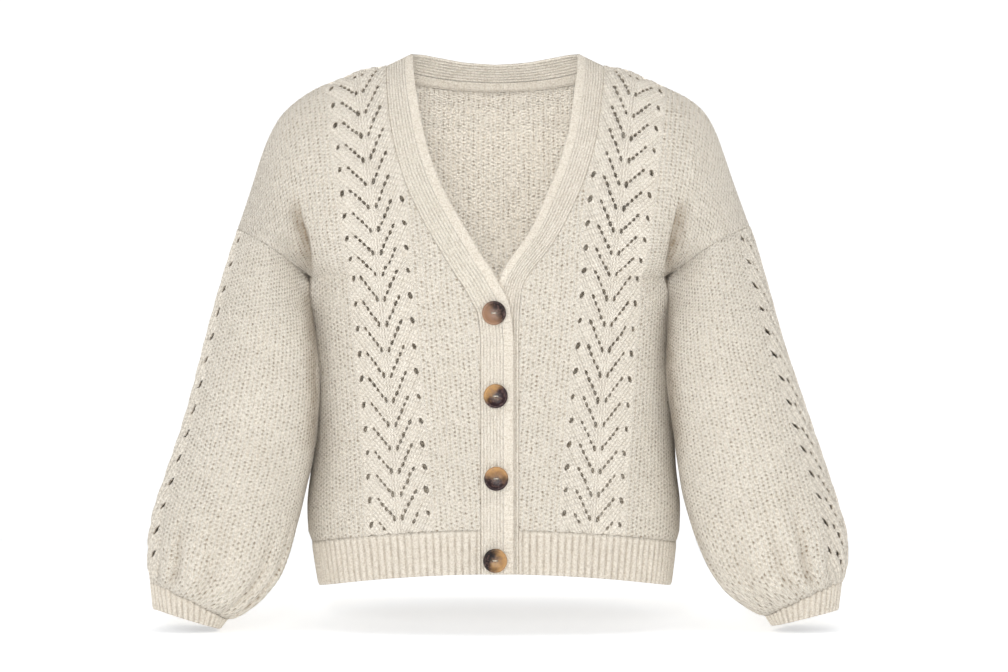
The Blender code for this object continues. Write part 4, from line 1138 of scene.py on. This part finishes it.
def sleeve(side, material):
    end = SLEEVES[side][-1].along
    distances = np.linspace(end, 0, round(end / ROW_STEP))
    degrees = np.linspace(0, 360, SLEEVE_WALES * 4 + 1)
    distance, turn = np.meshgrid(distances, degrees, indexing="ij")
    points = ring_points(side, distance, turn)
    across = (turn - SLEEVE_SPINE[side]) * MM_PER_DEGREE
    up = SLEEVE_FIRST_ROW * REPEAT - distance
    grid = Grid(filled(points), across, up)
    tips = -np.arange(-1, SLEEVE_VS + 1) * REPEAT
    cut_lace(grid, tips[::-1], SLEEVE_LACE, 40 + side, up[0, 0] + 9, up[-1, 0] - 6)
    share = lace_share(across)
    relief = knit_relief(across, up, share)
    relief += unevenness(across, up, 50 + side) * off_seams(distance, end - distance + 6)
    relief += sleeve_folds(side, distance, turn) * off_seams(distance)
    furrows = gathers(side, distance, turn)
    inwards = 0.5 + 0.5 * np.cos(np.radians(turn))
    relief += ROLL * hill(end - 3 - distance, 4) * inwards - GATHER_DEPTH * furrows
    from_seam = np.minimum(turn, 360 - turn) * MM_PER_DEGREE
    relief += seam_valley(distance) + 0.6 * seam_valley(from_seam)
    relief += share * 0.5 * lace_relief(across, up) + underarm_bulge(distance, from_seam)
    # Painted shade beside the seams, in the fold below the arm and in the furrows between the
    # gathers.
    painted_shade = seam_shade(distance, from_seam)
    painted_shade += fold_share(points, side) * (inwards > 0.6) + 0.34 * furrows
    centre = (ring_points(side, distances, 0) + ring_points(side, distances, 180)) / 2
    return shell(f"sleeve_{SIDE_NAMES[side]}_knit", grid, relief,
                 knit_fields(across, up, share, painted_shade), points - centre[:, None], material)


# ---------------------------------------------------------------- ribs


def closed_strip(name, outer, inner, fields, material, ring=False):
    """A closed shell between an outer and an inner surface, rows x columns each; its fields
    are for the outer one and are shared by the inner one."""
    rows, columns = outer.shape[:2]
    count = rows * columns
    number = np.arange(count).reshape(rows, columns)
    if ring:
        number = np.concatenate([number, number[:, :1]], axis=1)
    out = np.stack([number[:-1, :-1], number[:-1, 1:], number[1:, 1:], number[1:, :-1]], axis=-1)
    out = out.reshape(-1, 4)
    sides = [(number[0, 1:], number[0, :-1]), (number[-1, :-1], number[-1, 1:])]
    if not ring:
        sides += [(number[:-1, 0], number[1:, 0]), (number[1:, -1], number[:-1, -1])]
    rims = [np.stack([a, b, b + count, a + count], axis=-1) for a, b in sides]
    quads = np.concatenate([out, out[:, ::-1] + count, *rims])
    vertices = np.concatenate([outer.reshape(-1, 3), inner.reshape(-1, 3)])
    a, b, c, d = (vertices[quads[:, k]] for k in range(4))
    if (np.cross(c - a, d - b) * (a + b + c + d)).sum() < 0:  # its volume, times a number
        quads = quads[:, ::-1]
    values = {key: np.tile(value.reshape(-1, 3), (2, 1)) for key, value in fields.items()}
    return mesh_object(name, vertices, quads, np.zeros((0, 3), int), values, material)


def rib_profile(phase):
    """A rounded rib: 1 on its crest, -1 in the narrow furrow between two."""
    wave = 0.5 + 0.5 * np.cos(TURN * phase)
    return 2 * wave**0.55 - 1


# The same attributes for the ribbing, with its painted shade.
def rib_fields(phase, up, painted_shade):
    zero = 0 * phase
    return {"knit": np.stack([phase, up / RIB_COURSE + zero, painted_shade + zero], axis=-1),
            "lace": np.zeros((*phase.shape, 3))}


def hem_rib(name, side_lines, material, seed):
    """The hem's rib between two fronts' edges or seams, from outlines at many heights."""
    heights = np.linspace(0, 1, HEM_ROWS)
    count = round(lengths(side_lines[-1])[-1] / HEM_RIB_PITCH)
    shares = np.linspace(0, 1, count * HEM_POINTS + 1)
    base = np.array([along(line, 0.2 + shares * (lengths(line)[-1] - 0.4))
                     for line in side_lines])
    way = np.gradient(base, axis=1)
    out = unit(np.stack([way[..., 1], -way[..., 0], 0 * way[..., 0]], axis=-1))
    phase = np.broadcast_to(shares * count, base.shape[:2])
    waves = np.random.default_rng(seed).uniform(-1, 1, count + 2)
    own = np.interp(phase, np.arange(count + 2), waves)
    ends = np.sin(math.pi * heights[:, None]) ** 0.25
    grown = (1 - 0.8 * ease(heights, 0.86, 1))[:, None]
    relief = (HEM_RELIEF * rib_profile(phase) * (0.75 + 0.25 * ends) + 0.3 * own) * grown
    relief = relief - 0.9 * ease(heights, 0.06, 0)[:, None] + 0.1 * ease(heights, 0.9, 1)[:, None]
    outer = base + out * relief[..., None]
    inner = base - out * (2.3 - 0.45 * rib_profile(phase + 0.5))[..., None]
    # Painted shade in the furrows between the ribs.
    painted_shade = 0.22 * ease(rib_profile(phase), 0.2, -1) * grown
    return closed_strip(name, outer, inner, rib_fields(phase, heights[:, None] * RIB_HEIGHT,
                                                       painted_shade), material)


def hem_lines(parts):
    """The rib's outlines, from its lower edge up, through the halves of panels above it."""
    lines = []
    for height in np.linspace(HEM_SEAM - RIB_HEIGHT, HEM_SEAM - SEAM_GAP / 6, HEM_ROWS):
        line = []
        for side, face in parts:
            piece = panel_ring(side, face, height)
            piece = piece if side == face * -1 else piece[::-1]
            line.append(piece if not line else piece[1:])
        lines.append(np.concatenate(line))
    return lines


def cuff(side, material):
    """The rib of a cuff, hanging straight down from the sleeve's last ring."""
    end = SLEEVES[side][-1].along
    outer_end, inner_end = ring_points(side, end, 180), ring_points(side, end, 0)
    centre, half = (outer_end + inner_end) / 2, (outer_end - inner_end) / 2
    columns = CUFF_RIBS * CUFF_POINTS
    turn = np.linspace(0, TURN, columns, endpoint=False)[None, :] * side
    part = np.linspace(1, -CUFF_TUCK, CUFF_ROWS)[:, None]
    outside = (1 - np.cos(turn)) / 2
    reach, taper = (outer * outside + inner * (1 - outside)
                    for outer, inner in (CUFF_HEIGHT[side], CUFF_TAPER))
    base = centre - half * ((1 - taper * part) * np.cos(turn))[..., None]
    base[..., 1] -= (CUFF_DEPTH + CUFF_FLARE * (1 - part)) * np.sin(turn)
    base[..., 2] -= SEAM_GAP + part * reach
    way = np.roll(base, -1, axis=1) - np.roll(base, 1, axis=1)
    out = unit(np.cross(way, (0, 0, 1.0)))
    phase = np.broadcast_to(np.arange(columns) / CUFF_POINTS, base.shape[:2])
    wave = np.sin(turn * 5 + side) * 0.6 * part + 0.4 * np.sin(turn * 9)
    relief = 0.75 * rib_profile(phase) - 0.8 * ease(part, 0.94, 1) - 2.0 * ease(part, 0.03, -0.1)
    relief = relief + wave
    # Painted shade in the furrows between the ribs.
    painted_shade = 0.16 * ease(rib_profile(phase), 0.2, -1) + 0 * part
    outer = base + out * relief[..., None]
    inner = base + out * (wave - 2.2 + 0.4 * rib_profile(phase + 0.5))[..., None]
    return closed_strip(f"cuff_{SIDE_NAMES[side]}_rib", outer, inner,
                        rib_fields(phase, -part * CUFF_LENGTH, painted_shade), material, ring=True)


# ---------------------------------------------------------------- bands


def neck_loop():
    """The edge that the bands are sewn to and the fronts' normals at it, from the right hem
    up, round the neck and down to the left hem, with the shoulder seams' numbers."""
    repeats = np.linspace(HEM_SEAM_REPEAT, SHOULDER_REPEAT, BAND_ROWS)
    line, out = {}, {}
    for side in (RIGHT, LEFT):
        points, normals = [], []
        for height in np.linspace(HEM_SEAM - RIB_HEIGHT, HEM_SEAM, BAND_HEM_ROWS)[:-1]:
            row = panel_ring(side, FRONT, height)
            points.append(row[0])
            normals.append(row[3] - row[0])
        for repeat in repeats:
            row = body_row(side, FRONT, repeat)
            points.append(row[0])
            normals.append(row[4] - row[0])
        points, ways = np.array(points), np.array(normals)
        line[side] = points
        out[side] = unit(np.cross(ways, np.gradient(points, axis=0)) * side)
    back_line = np.concatenate([back_neck_line(RIGHT)[::-1], back_neck_line(LEFT)[1:]])
    middle = along(back_line, np.linspace(0, lengths(back_line)[-1], BAND_NECK_ROWS))[1:-1]
    first = len(line[RIGHT]) - 1
    whole = np.concatenate([line[RIGHT], middle, line[LEFT][::-1]])
    ends = out[RIGHT][-1], out[LEFT][-1]
    blend = np.linspace(0, 1, len(middle))[:, None]
    between = unit(ends[0] * (1 - blend) + ends[1] * blend + 1e-9)
    normals = np.concatenate([out[RIGHT], between, out[LEFT][::-1]])
    return whole, normals, (first, first + len(middle) + 1)


def band_ways(line, out):
    """Vectors across the band at each point of the neck loop, as long as it is wide there."""
    steep = ease(line[:, 2], *FLAT_FRONT)[:, None]
    way = unit(np.cross(np.gradient(line, axis=0), out * steep + (1 - steep) * (0, -1, 0)))
    shoulder = smooth(NECK_EDGE, "right", NECK_EDGE[-1].height)
    ways = []
    for (x, y, z), flat in zip(line, way):
        side = RIGHT if x < 0 else LEFT
        stand = np.array(STAND_AT_SHOULDER) * (-side, 1, 1)
        if y > 1:
            reach = NECK_TOP[-1].out * min(abs(x) / shoulder, 1)
            top = smooth(NECK_TOP, "height", reach)
            stand = np.array([side * reach - x, -NECK_TOP_LEAN * y, top - z])
            width = np.linalg.norm(stand)
        else:
            standing = ease(z, STAND_STARTS, NECK_EDGE[-1].height)
            stand = flat * (1 - standing) + stand * standing
            width = smooth(BAND_WIDTHS, side, z)
        ways.append(stand / np.linalg.norm(stand) * width)
    return np.array(ways)


def bands(material):
    line, out, shoulders = neck_loop()
    ways = band_ways(line, out)
    normals = unit(np.cross(ways, np.gradient(line, axis=0)))
    shares = np.linspace(-BAND_UNDER, 1, BAND_COLUMNS)
    at = shares * BAND_WIDTH
    ribs_end = BAND_RIDGES * BAND_RIDGE_PITCH
    rounded = ease(at, BAND_WIDTH - 2.0, BAND_WIDTH) ** 2 * 0.55
    thick = BAND_THICK * np.sqrt(np.clip(1 - rounded, 0, 1))
    made = []
    for name, stretch, side in (
        ("right", slice(0, shoulders[0] + 1), RIGHT),
        ("neck", slice(shoulders[0], shoulders[1] + 1), None),
        ("left", slice(shoulders[1], len(line)), LEFT),
    ):
        points, way, normal = line[stretch], ways[stretch], normals[stretch]
        ribs = at if side is not None else BAND_WIDTH - at  # the neck's are at its free edge
        ribbed = ease(ribs, ribs_end + 1.0, ribs_end - 1.0)
        phase = ribs / BAND_RIDGE_PITCH - 0.5
        profile_ = BAND_RELIEF * (ribbed * rib_profile(phase) + 0.5 * (1 - ribbed))
        profile_ -= 0.9 * ease(at, BAND_WIDTH - 1.6, BAND_WIDTH) ** 2 + 0.7 * ease(at, 1.2, 0)
        base = points[:, None] + shares[None, :, None] * way[:, None]
        if side is not None:
            lap = LAP[side] * (1 - ease(points[:, 2], *LAP_ENDS))
            base += (lap[:, None] * ease(shares, 0, 0.25))[..., None] * normal[:, None]
        run = lengths(points)[:, None]
        wave = 0.22 * np.sin(run / 19 + 1.1) + 0.16 * np.sin(run / 7.3)
        end = np.minimum(run, run[-1] - run)
        relief = profile_ + wave * 0.6 - 0.5 * hill(end, 1.2)
        outer = base + relief[..., None] * normal[:, None]
        inner = base - (thick + profile_ + 0 * relief)[..., None] * normal[:, None]
        # Painted shade along the edge sewn to the front, and the plain strip a little darker all
        # over.
        painted_shade = 0.18 * ease(at, 1.5, 0) + 0.1 * (1 - ribbed) + 0 * run
        crests = np.where(ribbed > 0.5, phase, 0)
        fields = rib_fields(np.broadcast_to(crests, relief.shape), run, painted_shade)
        made.append(closed_strip(f"band_{name}_knit", outer, inner, fields, material))
    return made


# ---------------------------------------------------------------- buttons

BUTTON_SIDES = 64
BUTTON_PROFILE = [
    (0, 2.7), (3.0, 2.72), (6.2, 2.85), (8.4, 3.3), (9.6, 3.9), (10.4, 4.3), (11.2, 4.38),
    (11.9, 4.1), (12.4, 3.5), (12.6, 2.6), (12.3, 1.4), (11.6, 0.4), (10.6, 0), (0, 0),
]
HOLE_RADIUS = 1.05
HOLE_OFFSET = 2.1
THREAD_RADIUS = 0.42
THREAD_HEIGHT = 2.5
THREAD_SAG = 0.35
THREAD_ENDS = 2.2
THREAD_SIDES = 8


def revolved(profile_, segments):
    """(vertices, faces) of a profile turned round the z axis; it starts and ends on it."""
    vertices, faces, rings = [], [], []
    for radius, height in profile_:
        count = segments if radius else 1
        rings.append(range(len(vertices), len(vertices) + count))
        vertices += [(radius * math.cos(TURN * k / segments),
                      radius * math.sin(TURN * k / segments), height) for k in range(count)]
    for low, high in zip(rings, rings[1:]):
        for k in range(segments):
            corners = (low[k % len(low)], low[(k + 1) % segments % len(low)],
                       high[(k + 1) % segments % len(high)], high[k % len(high)])
            faces.append(list(dict.fromkeys(corners)))
    return vertices, faces


def drilled(disc, places):
    """Cuts the thread's holes through the disc at the places."""
    cutters = []
    for place in places:
        bpy.ops.mesh.primitive_cylinder_add(
            vertices=24, radius=HOLE_RADIUS * MM, depth=30 * MM, rotation=(math.pi / 2, 0, 0),
            location=place)
        cutters.append(bpy.context.object)
        hole = disc.modifiers.new("hole", "BOOLEAN")
        hole.operation = "DIFFERENCE"
        hole.object = cutters[-1]
    bpy.context.view_layer.update()
    made = bpy.data.meshes.new_from_object(disc.evaluated_get(
        bpy.context.evaluated_depsgraph_get()))
    disc.modifiers.clear()
    disc.data = made
    made.shade_smooth()
    made.set_sharp_from_angle(angle=math.radians(40))
    for cutter in cutters:
        bpy.data.objects.remove(cutter)


def button(number, thread):
    """A dished two-hole button where the part has it, and the thread in its holes."""
    low, high = (np.array(corner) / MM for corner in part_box(f"button_{number + 1}"))
    middle = (low + high) / 2
    seat = high[1]
    vertices, faces = revolved(BUTTON_PROFILE[::-1], BUTTON_SIDES)
    mesh = bpy.data.meshes.new(f"button_disc_{number + 1}")
    mesh.from_pydata([((middle[0] + x) * MM, (seat - z) * MM, (middle[2] + y) * MM)
                      for x, y, z in vertices], [], faces)
    work = bmesh.new()
    work.from_mesh(mesh)
    bmesh.ops.recalc_face_normals(work, faces=work.faces)
    work.to_mesh(mesh)
    work.free()
    disc = placed(mesh.name, mesh, horn_material(number, middle))
    drilled(disc, [((middle[0] + sign * HOLE_OFFSET) * MM, seat * MM, middle[2] * MM)
                   for sign in (-1, 1)])
    turn = np.linspace(0, math.pi, 13)
    path = np.column_stack([middle[0] - HOLE_OFFSET * np.cos(turn),
                            seat - THREAD_HEIGHT - THREAD_SAG * np.sin(turn),
                            middle[2] + 0 * turn])
    ends = np.array([0, THREAD_ENDS, 0])
    path = np.concatenate([path[:1] + ends, path, path[-1:] + ends])
    return disc, cord(f"button_thread_{number + 1}", path, thread)


def cord(name, path, material):
    """A closed round cord along a path."""
    way = unit(np.gradient(path, axis=0))
    first = unit(np.cross(way, (0, 0, 1.0)))
    second = np.cross(way, first)
    turn = np.linspace(0, TURN, THREAD_SIDES, endpoint=False)[None, :, None]
    rings = path[:, None] + THREAD_RADIUS * (np.cos(turn) * first[:, None]
                                             + np.sin(turn) * second[:, None])
    number = np.arange(len(path) * THREAD_SIDES).reshape(len(path), THREAD_SIDES)
    after = np.roll(number, -1, axis=1)
    quads = np.stack([number[:-1], after[:-1], after[1:], number[1:]], axis=-1).reshape(-1, 4)
    mesh = bpy.data.meshes.new(name)
    mesh.from_pydata((rings.reshape(-1, 3) * MM).tolist(), [],
                     [*quads.tolist(), number[0][::-1].tolist(), number[-1].tolist()])
    mesh.shade_smooth()
    return placed(name, mesh, material)


# ---------------------------------------------------------------- the whole garment


def declare(piece, nodes):
    """Puts the piece under the root body and hides the part's nodes that it replaces."""
    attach(piece, "root")
    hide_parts(*nodes)


def garment():
    """Makes the garment; returns the pieces seen through the neck and their lamps' energy."""
    panel = wool_material("cream knit", True)
    ribbed = wool_material("cream rib", False, 0.24)
    banded = wool_material("cream band", False, 0.12, 0.1, 0.0)
    for side, name in SIDE_NAMES.items():
        declare(front(side, panel), [f"front_{name}"])
        declare(sleeve(side, panel), [f"sleeve_{name}_front", f"sleeve_{name}_back"])
        declare(cuff(side, ribbed), [f"cuff_{name}"])
        lines = hem_lines([(side, FRONT)])
        declare(hem_rib(f"hem_{name}_rib", lines, ribbed, 60 + side), [f"hem_rib_{name}"])
    back_piece = back(panel)
    declare(back_piece, ["back"])
    declare(hem_rib("hem_back_rib", hem_lines([(LEFT, BACK), (RIGHT, BACK)]), ribbed, 63),
            ["hem_rib_back"])
    right, neck, left = bands(banded)
    declare(right, ["front_band_right"])
    declare(neck, ["back_neckband"])
    declare(left, ["front_band_left"])
    thread = Nodes(bpy.data.materials.new("pale thread"))
    thread = thread.finish(Base_Color=(0.75, 0.68, 0.56, 1), Roughness=0.7)
    for number in range(len(HORNS)):
        disc, stitch = button(number, thread)
        declare(disc, [f"button_{number + 1}"])
        declare(stitch, [])
    return dict(zip((back_piece, neck), INSIDE_ENERGY))


# ---------------------------------------------------------------- the studio

DISTANCE = 14.0  # metres, as all the sizes in this section
VIEW_WIDTH = 1.0584
VIEW_MIDDLE = (0.0084, -0.2919)
CHEST = (0, 0, -0.3)
FLOOR = -0.600
PAPER_HALF = 5.0
# The white paper rises a little behind the garment.
SWEEP = table("y rise", (-4.5, -0.05), (-0.5, -0.03), (-0.02, 0.0), (0.03, 0.012), (0.1, 0.03),
              (0.3, 0.045), (0.6, 0.05), (3.0, 0.05))
WORLD_DIM, WORLD_BRIGHT = 0.42, 1.1  # how strong its white is
LAMPS = table(
    "name place aim energy size",
    ("key", (-0.7, -3.6, 0.8), CHEST, 24, 0.8),
    ("front", (0.0, -4.3, -0.25), CHEST, 38, 0.8),
    ("fill", (2.9, -1.7, 0.1), CHEST, 13, 1.4),
    ("left fill", (-3.0, -1.5, 0.0), CHEST, 13, 1.4),
    ("top", (0, -0.5, 2.4), CHEST, 22, 2.2),
)
# These two light only the pieces that they are given.
LAMP_BEHIND = ("behind", (0.5, 3.4, 0.6), CHEST, 26, 1.4)
LAMP_INSIDE = ((0, -3.0, 0.35), (0, 0.08, -0.1))
LAMP_INSIDE_SIZE = 0.4
INSIDE_ENERGY = (68, 16)  # for the back and for the neckband


def lamp(name, place, aim, energy, size, only=()):
    """A square lamp, for some pieces only where they are given."""
    light = bpy.data.lights.new(name, "AREA")
    light.energy, light.size = energy, size
    made = bpy.data.objects.new(name, light)
    made.location = place
    made.rotation_euler = (Vector(aim) - Vector(place)).to_track_quat("-Z", "Y").to_euler()
    bpy.context.scene.collection.objects.link(made)
    if only:
        lit = bpy.data.collections.new(f"pieces lit by lamp {name}")
        for piece in only:
            lit.objects.link(piece)
        made.light_linking.receiver_collection = lit


def paper_sweep():
    """The white paper that the garment hangs over."""
    paper = Nodes(bpy.data.materials.new("white paper"))
    paper = paper.finish(Base_Color=(0.785, 0.8, 0.82, 1), Roughness=1.0,
                         Emission_Color=(1, 1, 1, 1), Emission_Strength=0.47)
    count = len(SWEEP)
    mesh = bpy.data.meshes.new("white_sweep")
    mesh.from_pydata([(x, y, FLOOR + rise) for x in (-PAPER_HALF, PAPER_HALF)
                      for y, rise in SWEEP],
                     [], [(k, k + 1, count + k + 1, count + k) for k in range(count - 1)])
    mesh.shade_smooth()
    placed("white_sweep", mesh, paper)


def white_world():
    """White behind the garment and all round at its height, dimmer elsewhere."""
    world = bpy.data.worlds.new("studio")
    n = Nodes(world)
    background = n.tree.nodes["Background"]
    _, ahead, up = n.parts(n.place("Generated"))
    behind = n.map(ahead, -0.15, 0.15, WORLD_DIM, WORLD_BRIGHT)
    behind = n.math("MINIMUM", behind, n.map(up, 0.45, 0.8, WORLD_BRIGHT, WORLD_DIM))
    level = n.map(up, 0.045, 0.1, WORLD_BRIGHT, WORLD_DIM)
    n.put(background.inputs["Color"], (1, 1, 1, 1))
    n.put(background.inputs["Strength"], n.math("MAXIMUM", behind, level))
    bpy.context.scene.world = world


def studio(inside):
    """Frontal studio light on white paper, and the camera. The pieces seen through the neck
    have lamps of their own, with these energies."""
    scene = bpy.context.scene
    pieces = [thing for thing in scene.objects if thing.type == "MESH"]
    paper_sweep()
    white_world()
    for row in LAMPS:
        lamp(*row)
    lamp(*LAMP_BEHIND, only=pieces)
    for piece, energy in inside.items():
        lamp(f"for {piece.name}", *LAMP_INSIDE, energy, LAMP_INSIDE_SIZE, only=[piece])
    camera = bpy.data.cameras.new("front_view")
    camera.sensor_width = 36
    camera.lens = camera.sensor_width * DISTANCE / VIEW_WIDTH
    camera.clip_end = 40
    eye = bpy.data.objects.new("front_view", camera)
    eye.location = (VIEW_MIDDLE[0], -DISTANCE, VIEW_MIDDLE[1])
    eye.rotation_euler = (math.pi / 2, 0, 0)
    scene.collection.objects.link(eye)
    scene.camera = eye
    scene.view_settings.view_transform = "Standard"


studio(garment())
